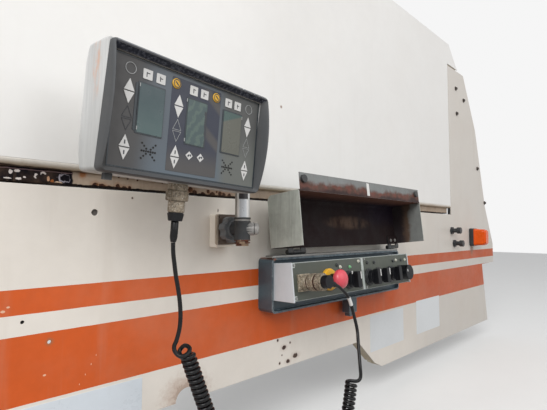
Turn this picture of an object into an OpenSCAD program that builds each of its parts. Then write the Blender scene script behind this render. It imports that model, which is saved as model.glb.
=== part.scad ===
/* Side control station on a section of body side panel.
   Millimetres, +Z up. The back mounting plane is y = 0 and the painted sheets look along -Y.
   The origin is the centre of the four-hole bolt pattern in the mount plates. */

/* [Body sheet] */
// Depth from the mounting plane to the outer face of the sheets
panel_depth = 60; // [56:1:80]
// Thickness of the painted sheets
sheet_t = 3; // [2:0.5:4]
// Distance of the left end from the origin
left_end = 910; // [880:5:1000]
// Distance of the right end of the upright strip's foot from the origin
right_end = 1060; // [1055:1:1070]
// Top edge of the lower sheet
seam_z = 63; // [60:1:66]
// Height of the gap between the lower sheet and the cover
seam_gap = 24; // [20:1:28]
// Bottom edge of the lower sheet at its left
sheet_bottom = 297; // [290:1:310]
// Bottom edge of the deeper part at the right
deep_bottom = 387; // [380:1:400]
// Radius of the half-round notch in the bottom edge
notch_r = 22; // [12:1:26]

/* [Cover] */
// Top edge of the upper cover
cover_top = 738; // [720:1:750]
// Right-hand edge of the upper cover
cover_right = 590; // [585:1:591]
// Radius of the rolled lower edge of the cover
roll_r = 10; // [8:1:12]

/* [Frame] */
// Distance between the bolt holes along X
bolt_dx = 1000; // [980:10:1020]
// Distance between the bolt holes along Z
bolt_dz = 460; // [440:10:470]
// Diameter of the bolt holes
bolt_d = 13; // [9:0.5:17]
// Side of the square mount plates
plate_w = 120; // [100:2:130]
// Thickness of the mount plates
plate_t = 8; // [6:1:10]
// Width of the upright posts
post_w = 70; // [60:2:80]

/* [Clamp] */
// Distance of the clamp spindle from the panel face
spindle_off = 75; // [74:0.5:76]
// Diameter of the upright tube
tube_d = 26; // [22:0.5:27]
// Top of the upright tube
tube_top = 190; // [170:2:210]
// Diameter of the star wheel
wheel_d = 50; // [46:1:54]
// Diameter of the horizontal stub
stub_d = 23; // [18:0.5:24]
// Running clearance on the radius in the swivel and the lid hinge
run_gap = 0.05; // [0.02:0.01:0.1]

/* [Terminal] */
// Width of the terminal housing
term_w = 266; // [260:1:268]
// Height of the terminal housing
term_h = 163; // [159:1:167]
// Depth of the terminal housing behind its face
term_depth = 62; // [58:1:63]
// Width of one display window
window_w = 36; // [30:1:38]
// Height of one display window
window_h = 62; // [56:1:64]
// Side of the square keys
key_w = 12; // [9:0.5:13]
// Yaw of the terminal
term_yaw = 3.4; // [0:0.1:4]
// Backward tilt of the terminal
term_tilt = 3.9; // [0:0.1:4.5]
// Droop of the terminal's right-hand end
term_roll = 1.9; // [0:0.1:2.5]

/* [Control box] */
// Depth of the tray between panel and box
tray_depth = 41; // [38:1:42]
// Height of the tray
tray_h = 111; // [104:1:114]
// Width of the control box
box_w = 470; // [466:1:474]
// Lean of the control face
face_lean = 6.5; // [4:0.1:8]
// Diameter of the emergency stop button
stop_d = 40; // [34:1:42]
// Diameter of the selector knobs
knob_d = 40; // [32:1:42]

/* [Lid] */
// Width of the lid
lid_w = 503; // [500:1:506]
// Reach of the lid from its hinge line
lid_reach = 116; // [112:1:120]
// Height of the lid's front wall
lid_h = 86; // [80:1:88]
// Height of the grab lip
lip_h = 34; // [24:1:36]
// Thickness of the lid's sheet
lid_t = 2; // [1.5:0.5:2.5]
// Angle at which the lid stands open
lid_open = 96; // [90:1:97]

/* [Cord] */
// Diameter of the cord
cord_d = 6.4; // [6:0.1:6.6]
// Outer diameter of the curly part
coil_d = 24; // [22:1:26]

/* [Hidden] */
face_y = -panel_depth;
back_y = face_y + sheet_t;
rail_back = face_y + 30;
post_back = -plate_t;
post_x = [-left_end + 50, -bolt_dx / 2, 0, bolt_dx / 2, cover_right + 130];
cover_bottom = seam_z + seam_gap;
spindle_x = -524;
spindle_y = face_y - spindle_off;
tx = -677.3;
tz = 141.2;
ty = face_y - 150;
box_left = -410;
box_right = box_left + box_w;
box_y = face_y - tray_depth;
tray_rim = 12;
pan_y = box_y + tray_rim;
box_top = -63;
box_foot = -138;
tray_left = -415;
tray_right = 100;
tray_bottom = -167;
tray_top = tray_bottom + tray_h;
rail_top = -51;
hinge_y = face_y - tray_depth;
hinge_z = -45;
pin_d = 6;
knuckle_r = 5;
face_mid_y = face_y - 91.5;
face_mid_z = -99.5;
face_half = 37.4;
face_t = 3;
face_split = -165;
lid_left = -418;
lid_right = lid_left + lid_w;
lid_rim_z = hinge_z - lid_h;
lid_front_y = hinge_y - lid_reach;
selector_x = [-224, -141, -99, -40, 8];
selector_z = -10;
stop_x = -298;
stop_z = -3.5;
plug_x = -379;
plug_z = -3;
hinge_x = [-344, 64];
lid_bend = 12;
win_x = [-70.5, 1.8, 68.5];
term_head = (term_h + 9) / 2;
term_foot = -(term_h - 9) / 2;
term_face_w = term_w - 18;
term_face_h = term_h - 23;
visor_top = term_head - 5;
back_r = 222;
connector = [1.3, 30.2];
sheet_pts = [[-left_end, -sheet_bottom], [-50, -sheet_bottom], [33, -370], [70, -deep_bottom],
    [960, -deep_bottom], [912, -143], [right_end, -140], [right_end, -55], [970, 110], [874, 437],
    [750, 649], [cover_right + 2, 649], [cover_right + 2, seam_z], [-left_end, seam_z]];
outlet = [-379, -212.6, -95.2];
outlet_dir = unit([49, -2, -18.5]);
boot_end = [-683.8, -169.2, -17.3];
coil_path = [[-661, -175.6, -179], [-648, -177, -214], [-634, -179, -252], [-618, -182, -292],
    [-597, -186, -336], [-572, -190, -379], [-541, -195, -416], [-502, -201, -440],
    [-458, -208, -447], [-417, -216, -436], [-385, -225, -408], [-363, -233, -368],
    [-352, -238, -322], [-344, -240, -275]];
coil_end = len(coil_path) - 1;
tail_term = [boot_end, [-684.4, -168.1, -34], [-683.6, -168.6, -50],
    [-681.4, -170.4, -66], [-678.4, -173, -82], [-675.6, -174.6, -98], [-673.6, -175, -113],
    [-672.8, -175, -128], [-671.6, -175, -143], [-668.4, -175, -158],
    coil_path[0] - 9 * unit(coil_path[1] - coil_path[0]), coil_path[0]];
tail_box = [coil_path[coil_end],
    coil_path[coil_end] + 13 * unit(coil_path[coil_end] - coil_path[coil_end - 1]),
    [-336, -240, -251], [-326, -239, -241], [-315, -236, -231], [-306, -230, -217],
    [-300, -225, -203], [-298.5, -221.5, -189], [-300, -218.6, -175], [-303.5, -217.2, -161],
    [-308, -216.6, -149], [-312.5, -216.2, -138.5], [-319, -215.8, -129],
    [-327.5, -215.2, -121], [-337.5, -214.4, -113.5], outlet + 33 * outlet_dir,
    outlet + 22 * outlet_dir];

// Box from two opposite corners.
module slab(a, b) {
    translate(a) cube(b - a);
}

// Cylinder along X, Y or Z that starts at p.
module rod_x(p, l, d, n = 48) {
    translate(p) rotate([0, 90, 0]) cylinder(h = l, d = d, $fn = n);
}

module rod_y(p, l, d, n = 48) {
    translate(p) rotate([90, 0, 0]) cylinder(h = l, d = d, $fn = n);
}

module rod_z(p, l, d, n = 48) {
    translate(p) cylinder(h = l, d = d, $fn = n);
}

// Outline in the X-Z plane, given a thickness from y0 backwards.
module plate_xz(y0, t) {
    translate([0, y0 + t, 0]) rotate([90, 0, 0]) linear_extrude(t) children();
}

// Outline in the Y-Z plane, drawn as [y, z] and run along X.
module run_x(x0, l) {
    translate([x0, 0, 0]) rotate([90, 0, 90]) linear_extrude(l) children();
}

// Rounded rectangle about its centre.
module round_rect(w, h, r) {
    union() {
        square([w - 2 * r, h], center = true);
        square([w, h - 2 * r], center = true);
        for (sx = [-1, 1]) for (sz = [-1, 1])
            translate([sx * (w / 2 - r), sz * (h / 2 - r)]) circle(r = r, $fn = 32);
    }
}

// Straight bar of a given depth along one edge of the sheet, short of both corners.
module edge_bar(p, q, cut = 6) {
    d = q - p;
    l = norm(d);
    translate([p[0], 0, p[1]]) rotate([0, -atan2(d[1], d[0]), 0])
        slab([cut, back_y, 0], [l - cut, rail_back, sheet_t]);
}

// Round tube through a list of points, with one ring at each point.
function unit(v) = v / norm(v);
function tangent(p, i) = unit(p[min(i + 1, len(p) - 1)] - p[max(i - 1, 0)]);
function ring(c, t, r, n) = let (u = unit(cross(t, [0.13, 1, 0.21])), w = cross(t, u))
    [for (k = [0 : n - 1]) c + r * cos(360 * k / n) * u + r * sin(360 * k / n) * w];

module tube(p, d, n = 10) {
    pts = [for (i = [0 : len(p) - 1]) each ring(p[i], tangent(p, i), d / 2, n)];
    m = len(p) - 1;
    sides = [for (i = [0 : m - 1]) for (k = [0 : n - 1])
        let (a = i * n + k, b = i * n + (k + 1) % n) each [[a, b, b + n], [a, b + n, a + n]]];
    first = [for (k = [0 : n - 1]) n - 1 - k];
    last = [for (k = [0 : n - 1]) m * n + k];
    polyhedron(points = pts, faces = concat([first], sides, [last]), convexity = 6);
}

// Frames of the parts that stand at an angle.
module in_terminal() {
    translate([tx, ty, tz]) rotate([0, 0, term_yaw]) rotate([term_tilt, 0, 0])
        rotate([0, term_roll, 0]) children();
}

module in_face() {
    translate([0, face_mid_y, face_mid_z]) rotate([-face_lean, 0, 0]) children();
}

module in_lid() {
    translate([0, hinge_y, hinge_z]) rotate([-lid_open, 0, 0])
        translate([0, -hinge_y, -hinge_z]) children();
}

/* Panel */

module body_sheet() {
    color("white") difference() {
        plate_xz(face_y, sheet_t) difference() {
            polygon(sheet_pts);
            translate([-585, -sheet_bottom]) circle(r = notch_r, $fn = 48);
        }
        rod_y([-753, back_y + 1, 27], 6, 10);
        rod_y([-810, back_y + 1, -155], 6, 5, 24);
        rod_y([-844, back_y + 1, -123], 6, 5, 24);
    }
}

module sheet_flanges() {
    color("ivory") union() {
        edge_bar([-left_end, -sheet_bottom], [-585 - notch_r, -sheet_bottom]);
        edge_bar([-585 + notch_r, -sheet_bottom], [-50, -sheet_bottom]);
        for (i = [1 : 10]) edge_bar(sheet_pts[i], sheet_pts[i + 1]);
        edge_bar(sheet_pts[11], [cover_right + 2, cover_bottom + 14]);
        edge_bar([cover_right + 2, seam_z], sheet_pts[13]);
    }
}

module upper_cover() {
    color("white") plate_xz(face_y, sheet_t) polygon([[-left_end, cover_bottom + roll_r],
        [cover_right, cover_bottom + roll_r], [cover_right, 655], [688, 655], [608, cover_top],
        [-left_end, cover_top]]);
}

// The rolled lower lip, the turned-in right edge and the turned-in top edge.
module cover_edges() {
    color("ivory") union() {
        run_x(-left_end, left_end + cover_right) {
            translate([face_y + roll_r, cover_bottom + roll_r]) intersection() {
                difference() {
                    circle(r = roll_r, $fn = 48);
                    circle(r = roll_r - sheet_t, $fn = 48);
                }
                translate([-roll_r, -roll_r]) square([roll_r, roll_r]);
            }
            translate([face_y + roll_r, cover_bottom])
                square([rail_back - face_y - roll_r, sheet_t]);
        }
        slab([cover_right - sheet_t, back_y, 105], [cover_right, rail_back, 645]);
        slab([cover_right + 4, back_y, 655], [680, rail_back, 655 + sheet_t]);
        slab([-left_end, back_y, cover_top - sheet_t], [602, rail_back, cover_top]);
        edge_bar([688, 655], [608, cover_top], 8);
    }
}

// Strip that closes the gap under the lip, set back from both sheets, with a dark slit below it.
module recess_channel() {
    color("ivory") run_x(-left_end, left_end + cover_right - 14) union() {
        slab2([face_y + 10, seam_z + 3], [face_y + 13, cover_bottom]);
        slab2([face_y + 13, seam_z + 3], [rail_back, seam_z + 6]);
    }
}

// Open channel bars behind the sheets, one at each height.
module rail(x0, x1, z) {
    translate([0, 0, z]) run_x(x0, x1 - x0) difference() {
        translate([back_y, -20]) square([rail_back - back_y, 40]);
        translate([back_y + 4, -16]) square([rail_back - back_y, 32]);
    }
}

module frame_rails() {
    color("dimgray") union() {
        rail(-left_end + 20, right_end - 220, -sheet_bottom + 42);
        rail(-left_end + 20, right_end - 120, seam_z - 43);
        rail(-left_end + 20, cover_right - 30, cover_bottom + 43);
        rail(-left_end + 20, cover_right - 30, cover_top - 48);
        rail(cover_right + 20, right_end - 260, cover_top - 268);
    }
}

module frame_post(x, z0, z1) {
    translate([x, 0, 0]) difference() {
        slab([-post_w / 2, rail_back, z0], [post_w / 2, post_back, z1]);
        slab([-post_w / 2 + 5, rail_back + 5, z0 - 1], [post_w / 2 - 5, 1, z1 + 1]);
    }
}

module frame_posts() {
    color("dimgray") union() {
        for (i = [0 : 2]) frame_post(post_x[i], -sheet_bottom + 7, cover_top - 13);
        frame_post(post_x[3], -deep_bottom + 17, cover_top - 13);
        frame_post(post_x[4], -deep_bottom + 17, cover_top - 108);
    }
}

module mount_plates() {
    color("dimgray") difference() {
        for (sx = [-1, 1]) for (sz = [-1, 1]) translate([sx * bolt_dx / 2, 0, sz * bolt_dz / 2])
            slab([-plate_w / 2, -plate_t, -plate_w / 2], [plate_w / 2, 0, plate_w / 2]);
        for (sx = [-1, 1]) for (sz = [-1, 1])
            rod_y([sx * bolt_dx / 2, 1, sz * bolt_dz / 2], plate_t + 2, bolt_d);
    }
}

/* Lamp and glands at the right */

module lamp_base() {
    color("black") translate([794, 0, -25]) plate_xz(face_y - 17, 17) round_rect(50, 72, 8);
}

module lamp_lens() {
    color("orange") translate([794, 0, -25]) union() {
        plate_xz(face_y - 24, 7) round_rect(47, 69, 9);
        plate_xz(face_y - 50, 26) round_rect(43, 65, 9);
        plate_xz(face_y - 57, 7) round_rect(39, 61, 9);
        plate_xz(face_y - 62, 5) round_rect(31, 53, 9);
    }
}

module cable_glands() {
    color("gray") union() {
        for (p = [[590, 2], [612, -47]]) translate([p[0], face_y, p[1]]) {
            rod_y([0, 0, 0], 6, 30, 6);
            rod_y([0, -6, 0], 16, 16);
            rod_y([0, -22, 0], 14, 24, 8);
        }
    }
}

/* Clamp and swivel tube */

module clamp_block() {
    color("ivory") slab([-541, face_y - 23, -31], [-501, face_y, 30]);
}

module clamp_flange() {
    color("black") difference() {
        translate([-520, 0, 2]) plate_xz(face_y - 27, 4) round_rect(50, 56, 4);
        for (sx = [-1, 1]) for (sz = [-1, 1])
            rod_y([-520 + sx * 19, face_y - 22, 2 + sz * 22], 6, 4, 24);
    }
}

// Star wheel with seven lobes round a hub.
module clamp_wheel() {
    color("black") difference() {
        union() {
            rod_y([-520, face_y - 27, 2], 5, 30);
            rod_y([-520, face_y - 32, 2], 16, wheel_d - 2, 64);
            rod_y([-520, face_y - 48, 2], 4, 32);
        }
        for (k = [0 : 6]) rotate_about([-520, 2], 360 / 7 * k + 13)
            rod_y([wheel_d / 2 + 3, face_y - 31, 0], 18, 15, 32);
    }
}

module rotate_about(c, a) {
    translate([c[0], 0, c[1]]) rotate([0, a, 0]) children();
}

// Dark lump that carries the tube, its rings and the stub that points to the front right.
module clamp_barrel() {
    color("silver") union() {
        rod_y([spindle_x, face_y - 52, 3], spindle_off - 52, 22);
        rod_z([spindle_x, spindle_y, -16], 30, tube_d + 2);
        rod_z([spindle_x, spindle_y, 14], 3, tube_d + 4);
        rod_z([spindle_x, spindle_y, 17], 3, tube_d + 1);
        rod_z([spindle_x, spindle_y, 20], 3, tube_d + 4);
        translate([spindle_x, spindle_y, 3]) rotate([0, 0, -45]) {
            rod_x([0, 0, 0], 21, stub_d);
            rod_x([21, 0, 0], 1.5, stub_d - 3);
            rod_x([22.5, 0, 0], 4, stub_d - 2);
            translate([26.5, 0, 0]) rotate([0, 90, 0])
                cylinder(h = 3, d1 = stub_d - 2, d2 = stub_d - 8, $fn = 48);
        }
    }
}

// Washers and nut under the lump.
module clamp_nut() {
    color("peru") union() {
        rod_z([spindle_x, spindle_y, -18], 2, tube_d + 3);
        rod_z([spindle_x, spindle_y, -20.5], 2.5, tube_d - 3);
        rod_z([spindle_x, spindle_y, -22.5], 2, tube_d + 2);
        rod_z([spindle_x, spindle_y, -27], 4.5, tube_d - 2, 6);
    }
}

module swivel_tube() {
    color("silver") rod_z([spindle_x, spindle_y, 23], tube_top - 23, tube_d, 64);
}

/* Tray and control box */

// Shallow pan with rounded corners: a rim all round, a floor that the box sits on, open behind.
module tray() {
    mid = [(tray_left + tray_right) / 2, (tray_bottom + tray_top) / 2];
    w = tray_right - tray_left;
    h = tray_top - tray_bottom;
    color("darkslategray") difference() {
        translate([mid[0], 0, mid[1]]) plate_xz(box_y, tray_depth) round_rect(w, h, 10);
        translate([mid[0], 0, mid[1]]) plate_xz(box_y - 1, tray_rim + 1)
            round_rect(w - 8, h - 8, 7);
        for (i = [0 : 2])
            slab([tray_left + 4 + i * (w - 4) / 3, pan_y + 3, tray_bottom + 4],
                [tray_left + (i + 1) * (w - 4) / 3, face_y + 1, tray_top - 4]);
    }
}

module latch_tab() {
    color("darkslategray") union() {
        slab([-135, face_y - 33, tray_bottom - 38], [-103, face_y - 10, tray_bottom]);
        slab([-129, face_y - 30, tray_bottom - 47], [-109, face_y - 13, tray_bottom - 38]);
    }
}

module hinge_rail() {
    color("silver") slab([lid_left + 4, hinge_y, tray_top], [tray_right - 6, face_y - 20, rail_top]);
}

module knuckle(x0, l, gap) {
    difference() {
        children();
        rod_x([x0 - 1, hinge_y, hinge_z], l + 2, pin_d + 2 * gap, 64);
    }
}

module hinge_knuckles() {
    color("black") for (x = hinge_x) knuckle(x - 11, 22, run_gap) union() {
        rod_x([x - 11, hinge_y, hinge_z], 22, 2 * knuckle_r);
        slab([x - 11, hinge_y, rail_top], [x + 11, hinge_y + 14, hinge_z]);
    }
}

// Section of the box in the Y-Z plane, from the pan's floor out to the leaning face.
module box_section(inset, out = 0) {
    lean = tan(face_lean);
    y_top = face_mid_y + face_t / cos(face_lean) - (face_mid_z - box_top) * lean;
    y_low = face_mid_y + face_t / cos(face_lean) - (face_mid_z - box_foot) * lean;
    polygon([[pan_y, box_top - 5 - inset + out], [y_top + inset - 4 * out, box_top - inset + out],
        [y_low + inset - 4 * out, box_foot + inset - out], [pan_y, box_foot - 2 + inset - out]]);
}

module control_box() {
    color("dimgray") difference() {
        run_x(box_left + 3, box_w - 6) box_section(0);
        for (i = [0 : 2]) run_x(box_left + 6 + i * (box_w - 9) / 3, (box_w - 9) / 3 - 3)
            difference() {
                box_section(3);
                translate([pan_y - 3, box_foot - 12]) square([10, 100]);
            }
    }
}

module box_end_caps() {
    color("silver") for (x = [box_left, box_right - 3]) run_x(x, 3) box_section(0, 1);
}

module face_plate(x0, x1) {
    in_face() slab([x0, 0, -face_half], [x1, face_t, face_half]);
}

module face_left() {
    color("darkolivegreen") face_plate(box_left + 3, face_split - 0.5);
}

module face_right() {
    color("darkolivegreen") face_plate(face_split + 0.5, box_right - 3);
}

module stop_collar() {
    color("gold") in_face() union() {
        rod_y([stop_x, 0, stop_z], 6, 46, 64);
        rod_y([stop_x, -6, stop_z], 5, 40, 64);
    }
}

module stop_button() {
    color("red") in_face() translate([stop_x, -11, stop_z]) rotate([90, 0, 0]) rotate_extrude($fn = 64)
        polygon([[0, 0], [12, 0], [12, 12], [17, 14], [stop_d / 2 - 0.6, 17], [stop_d / 2, 21],
            [stop_d / 2 - 1.5, 26], [15, 30], [8, 32.5], [0, 33.5]]);
}

module selector_rings() {
    color("black") in_face() for (x = selector_x) {
        rod_y([x, 0, selector_z], 4, knob_d);
        rod_y([x, -4, selector_z], 4, knob_d - 4);
    }
}

// Turning knobs: four discs with a raised bar across them and one plain round knob.
module selector_knobs() {
    color("black") in_face() translate([0, 0, selector_z]) {
        for (i = [0 : 3]) translate([selector_x[i], 0, 0]) difference() {
            union() {
                rod_y([0, -8, 0], 9, knob_d - 8);
                rod_y([0, -17, 0], 13, knob_d - 4);
            }
            for (s = [-1, 1]) translate([s * 18.5, 0, 0]) slab([-11.5, -31, -30], [11.5, -17, 30]);
        }
        rod_y([selector_x[4], -8, 0], 22, knob_d - 2, 64);
    }
}

// Small buttons and lamps above the controls, as [x, z] on the face.
module indicator_lamps() {
    color("white") in_face() for (p = [[-264, 25], [-253, 20], [-217, 18], [-181, 29],
        [-144, 24], [-113, 23], [-22, 22], [-7, 23], [21, 22], [41, 22]]) {
        rod_y([p[0], 0, p[1]], 2, 8, 32);
        rod_y([p[0], -2, p[1]], 2, 5, 32);
    }
}

// Square flange with a threaded sleeve and the ring nut that holds the plug.
module box_socket() {
    color("tan") in_face() translate([plug_x, 0, plug_z]) difference() {
        union() {
            slab([-17, -4, -17], [17, 0, 17]);
            rod_y([0, -4, 0], 14, 30, 64);
            rod_y([0, -18, 0], 3, 27, 64);
            rod_y([0, -21, 0], 15, 32, 24);
            rod_y([0, -36, 0], 3, 27, 64);
            rod_y([0, -39, 0], 14, 30, 24);
        }
        rod_y([0, -45, 0], 9, 22);
        for (sx = [-1, 1]) for (sz = [-1, 1]) rod_y([sx * 13.4, 1, sz * 13.4], 6, 3.4, 24);
    }
}

// Cap with its side outlet.
module box_plug() {
    color("black") union() {
        in_face() rod_y([plug_x, -45, plug_z], 20, 22);
        in_face() rod_y([plug_x, -53, plug_z], 13, 25);
        translate(outlet) rotate([0, acos(outlet_dir[2]), atan2(outlet_dir[1], outlet_dir[0])])
            cylinder(h = 22, d = 10, $fn = 32);
    }
}

/* Lid, drawn closed and set open by in_lid() */

// End wall of the lid, rounded where the sheet bends and a little at the rim.
module lid_cheek(x) {
    run_x(x, lid_t) {
        slab2([lid_front_y + lid_bend, lid_rim_z], [hinge_y - 9.2, hinge_z]);
        slab2([lid_front_y, lid_rim_z + 4], [lid_front_y + lid_bend, hinge_z - lid_bend]);
        slab2([lid_front_y + 4, lid_rim_z], [lid_front_y + lid_bend, lid_rim_z + 4]);
        translate([lid_front_y + lid_bend, hinge_z - lid_bend]) circle(r = lid_bend, $fn = 48);
        translate([lid_front_y + 4, lid_rim_z + 4]) circle(r = 4, $fn = 32);
    }
}

// Top and front wall as one sheet with a round bend.
module lid_sheet() {
    run_x(lid_left, lid_w) {
        slab2([lid_front_y + lid_bend, hinge_z - lid_t], [hinge_y - 8, hinge_z]);
        slab2([lid_front_y, lid_rim_z], [lid_front_y + lid_t, hinge_z - lid_bend]);
        translate([lid_front_y + lid_bend, hinge_z - lid_bend]) intersection() {
            difference() {
                circle(r = lid_bend, $fn = 48);
                circle(r = lid_bend - lid_t, $fn = 48);
            }
            translate([-lid_bend, 0]) square(lid_bend);
        }
    }
}

module slab2(a, b) {
    translate(a) square(b - a);
}

module lid_shell() {
    color("slategray") in_lid() union() {
        lid_sheet();
        difference() {
            slab([lid_left + 6, lid_front_y - lip_h, lid_rim_z],
                [lid_right - 2, lid_front_y, lid_rim_z + lid_t]);
            slab([-177, lid_front_y - lip_h + 2, lid_rim_z - 1],
                [-163, lid_front_y - 2, lid_rim_z + 4]);
        }
        lid_cheek(lid_left);
        lid_cheek(lid_right - lid_t);
    }
}

module lid_buffers() {
    color("black") in_lid() for (x = [lid_left + 15, lid_right - 22])
        rod_z([x, lid_front_y - 21, lid_rim_z - 6], 6, 16, 32);
}

module lid_hinges() {
    color("black") in_lid() for (x = hinge_x) union() {
        rod_x([x - 28, hinge_y, hinge_z], 56, pin_d, 64);
        for (s = [-28, 12]) {
            rod_x([x + s, hinge_y, hinge_z], 16, 2 * knuckle_r);
            slab([x + s, hinge_y - 9, hinge_z - 5], [x + s + 16, hinge_y, hinge_z - lid_t]);
        }
        slab([x - 28, hinge_y - 30, hinge_z - lid_t - 4],
            [min(x + 28, lid_right - lid_t), hinge_y - 8, hinge_z - lid_t]);
    }
}

/* Terminal */

// Side outline of the housing as [y, z], smaller all round by g: a bulged back under a crown.
module term_side(g) {
    intersection() {
        translate([term_depth - back_r, 8]) circle(r = back_r - g, $fn = 360);
        union() {
            translate([term_depth / 2 - 24, (term_head + term_foot) / 2])
                round_rect(term_depth + 32 - 2 * g, term_h - 2 * g, 14);
            slab2([0, -50], [2 * term_depth, 66]);
        }
        polygon([[-40, visor_top - 8.2 - g], [20, term_head - g], [80, term_head - g],
            [80, term_foot + g], [-40, term_foot + g]]);
        polygon([[-4 + g, term_head], [8 + g, term_foot], [80, term_foot], [80, term_head]]);
    }
}

// Body of the housing, smaller all round by g, with rounded corners and back edges.
module term_form(g) {
    w = term_w - 2 * g;
    intersection() {
        run_x(-w / 2, w) term_side(g);
        translate([0, 0, (term_head + term_foot) / 2])
            plate_xz(-30, term_depth + 40) round_rect(w, term_h - 2 * g, 6);
        translate([0, 0, -term_h]) linear_extrude(2 * term_h) union() {
            translate([0, 0]) square([w, 2 * (term_depth - 8 - g)], center = true);
            translate([0, term_depth - 24 - g]) round_rect(w, 48, 8);
        }
    }
}

// Thin-walled housing, open towards the face, with one rib across it and a pad on its back.
module term_housing() {
    color("silver") in_terminal() difference() {
        union() {
            term_form(0);
            slab([50, term_depth - 12, -36], [122, term_depth + 1, 36]);
            slab([-119, 9, term_foot - 8], [-109, 16, term_foot + 1]);
        }
        difference() {
            intersection() {
                term_form(4);
                slab([-term_w, 4, -term_h], [term_w, 2 * term_depth, term_h]);
            }
            slab([-2, 0, -term_h], [2, 2 * term_depth, term_h]);
        }
        slab([-term_face_w / 2, -40, -term_face_h / 2], [term_face_w / 2, 4, term_face_h / 2]);
    }
}

// Surround of the face: its front edge is an arc, its back lies on the housing, and its
// opening widens towards the front.
module term_surround() {
    lean = 12 / term_h;
    in_terminal() difference() {
        intersection() {
            run_x(-term_w, 2 * term_w) intersection() {
                translate([245.6, 13.3]) circle(r = 266.3, $fn = 360);
                polygon([[-60, term_foot - 10], [8 + 10 * lean, term_foot - 10],
                    [-4 - 5 * lean, term_head + 5], [-60, term_head + 5]]);
            }
            translate([0, 0, (visor_top + term_foot) / 2])
                plate_xz(-40, 60) round_rect(term_w, visor_top - term_foot, 6);
        }
        term_opening();
    }
}

// The space in front of the face: straight at the face, then wider towards the front.
module term_opening() {
    w = term_face_w / 2;
    h = term_face_h / 2;
    intersection() {
        run_x(-term_w, 2 * term_w) polygon([[20, -h], [0, -h], [-30, -h - 15], [-30, h + 15],
            [0, h], [20, h]]);
        translate([0, 0, -term_h]) linear_extrude(2 * term_h) polygon([[-w, 20], [-w, 0],
            [-w - 9, -30], [w + 9, -30], [w, 0], [w, 20]]);
    }
}

module between(z0, z1) {
    intersection() {
        children();
        in_terminal() slab([-term_w, -60, z0], [term_w, 60, z1]);
    }
}

// Top of the surround, which shades the face.
module term_visor() {
    color("dimgray") between(term_face_h / 2, term_h) term_surround();
}

module term_cheeks() {
    color("dimgray") between(-term_face_h / 2, term_face_h / 2) term_surround();
}

module term_sill() {
    color("dimgray") between(-term_h, -term_face_h / 2) term_surround();
}

module term_face() {
    color("slategray") in_terminal() plate_xz(0, 4)
        square([term_face_w, term_face_h], center = true);
}

module term_windows() {
    color("teal") in_terminal() for (x = win_x)
        translate([x, 0, 9]) plate_xz(-1, 1) square([window_w, window_h], center = true);
}

// Round, square and arrow keys of the three groups.
module term_keys() {
    color("white") in_terminal() union() {
        for (x = [-79, -60, -7, 12, 58, 76.6])
            translate([x, 0, 53]) plate_xz(-1.2, 1.2) square(key_w, center = true);
        for (x = [-102.3, 100.9]) rod_y([x, 0, 54], 2.5, 12, 32);
        for (x = [-36, 33.8]) rod_y([x, 0, 54.6], 2.5, 9, 32);
        for (x = [-102.3, -29.6, 100.9]) for (z = [25.6, -7.5, -43.6])
            translate([x, 0, z]) plate_xz(-1.2, 1.2) polygon([[-6, 0], [0, 13], [6, 0], [0, -13]]);
        for (x = [-6.3, 13.1]) translate([x, 0, -38]) rotate([0, 45, 0])
            slab([-4.5, -1.2, -4.5], [4.5, 0, 4.5]);
    }
}

// Sleeve round the tube, arm and flange on the terminal's back.
module term_bracket() {
    color("dimgray") difference() {
        union() {
            in_terminal() slab([50, term_depth + 1, -36], [122, term_depth + 7, 36]);
            slab([-612, spindle_y - 5, 92], [spindle_x, spindle_y + 9, 148]);
            rod_z([spindle_x, spindle_y, 86], 66, tube_d + 10, 64);
            slab([spindle_x - 5, spindle_y + 10, 96], [spindle_x + 5, spindle_y + 30, 140]);
        }
        rod_z([spindle_x, spindle_y, 60], 140, tube_d + 2 * run_gap, 64);
        in_terminal() slab([0, 0, -90], [term_w, term_depth + 1, 90]);
    }
}

module at_connector(drop) {
    in_terminal() translate([connector[0], connector[1], term_foot - drop]) children();
}

// Socket under the housing with the ring nut that holds the plug.
module term_socket() {
    color("gray") difference() {
        union() {
            at_connector(9) cylinder(h = 9, d = 29, $fn = 64);
            at_connector(10.5) cylinder(h = 1.5, d = 26, $fn = 64);
            at_connector(24) cylinder(h = 13.5, d = 31, $fn = 24);
        }
        at_connector(25) cylinder(h = 6, d = 20, $fn = 64);
    }
}

module term_plug() {
    color("black") union() {
        at_connector(24) cylinder(h = 5, d = 20, $fn = 64);
        at_connector(40) cylinder(h = 16, d = 24, $fn = 64);
        at_connector(42) cylinder(h = 2, d = 21, $fn = 64);
        at_connector(53) cylinder(h = 11, d1 = 20, d2 = 24, $fn = 64);
    }
}

module term_boot() {
    color("black") at_connector(83.5) cylinder(h = 30.5, d1 = 7.5, d2 = 11, $fn = 48);
}

/* Cord */

module cord_tail_term() {
    color("black") tube(tail_term, cord_d);
}

module cord_coil() {
    color("black") tube(coil_path, coil_d, 12);
}

module cord_tail_box() {
    color("black") tube(tail_box, cord_d);
}

body_sheet();
sheet_flanges();
upper_cover();
cover_edges();
recess_channel();
frame_rails();
frame_posts();
mount_plates();
lamp_base();
lamp_lens();
cable_glands();
clamp_block();
clamp_flange();
clamp_wheel();
clamp_barrel();
clamp_nut();
swivel_tube();
tray();
latch_tab();
hinge_rail();
hinge_knuckles();
control_box();
box_end_caps();
face_left();
face_right();
stop_collar();
stop_button();
selector_rings();
selector_knobs();
indicator_lamps();
box_socket();
box_plug();
cord_tail_box();
cord_coil();
cord_tail_term();
term_housing();
term_visor();
term_cheeks();
term_sill();
term_face();
term_windows();
term_keys();
term_bracket();
term_socket();
term_plug();
term_boot();
lid_shell();
lid_buffers();
lid_hinges();
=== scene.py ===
"""Dress the side control station: finishes, cord, fine pieces, light and camera."""

import logging
import math
from dataclasses import dataclass
from enum import Enum
from typing import Callable, Iterable, Optional, Sequence

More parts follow.
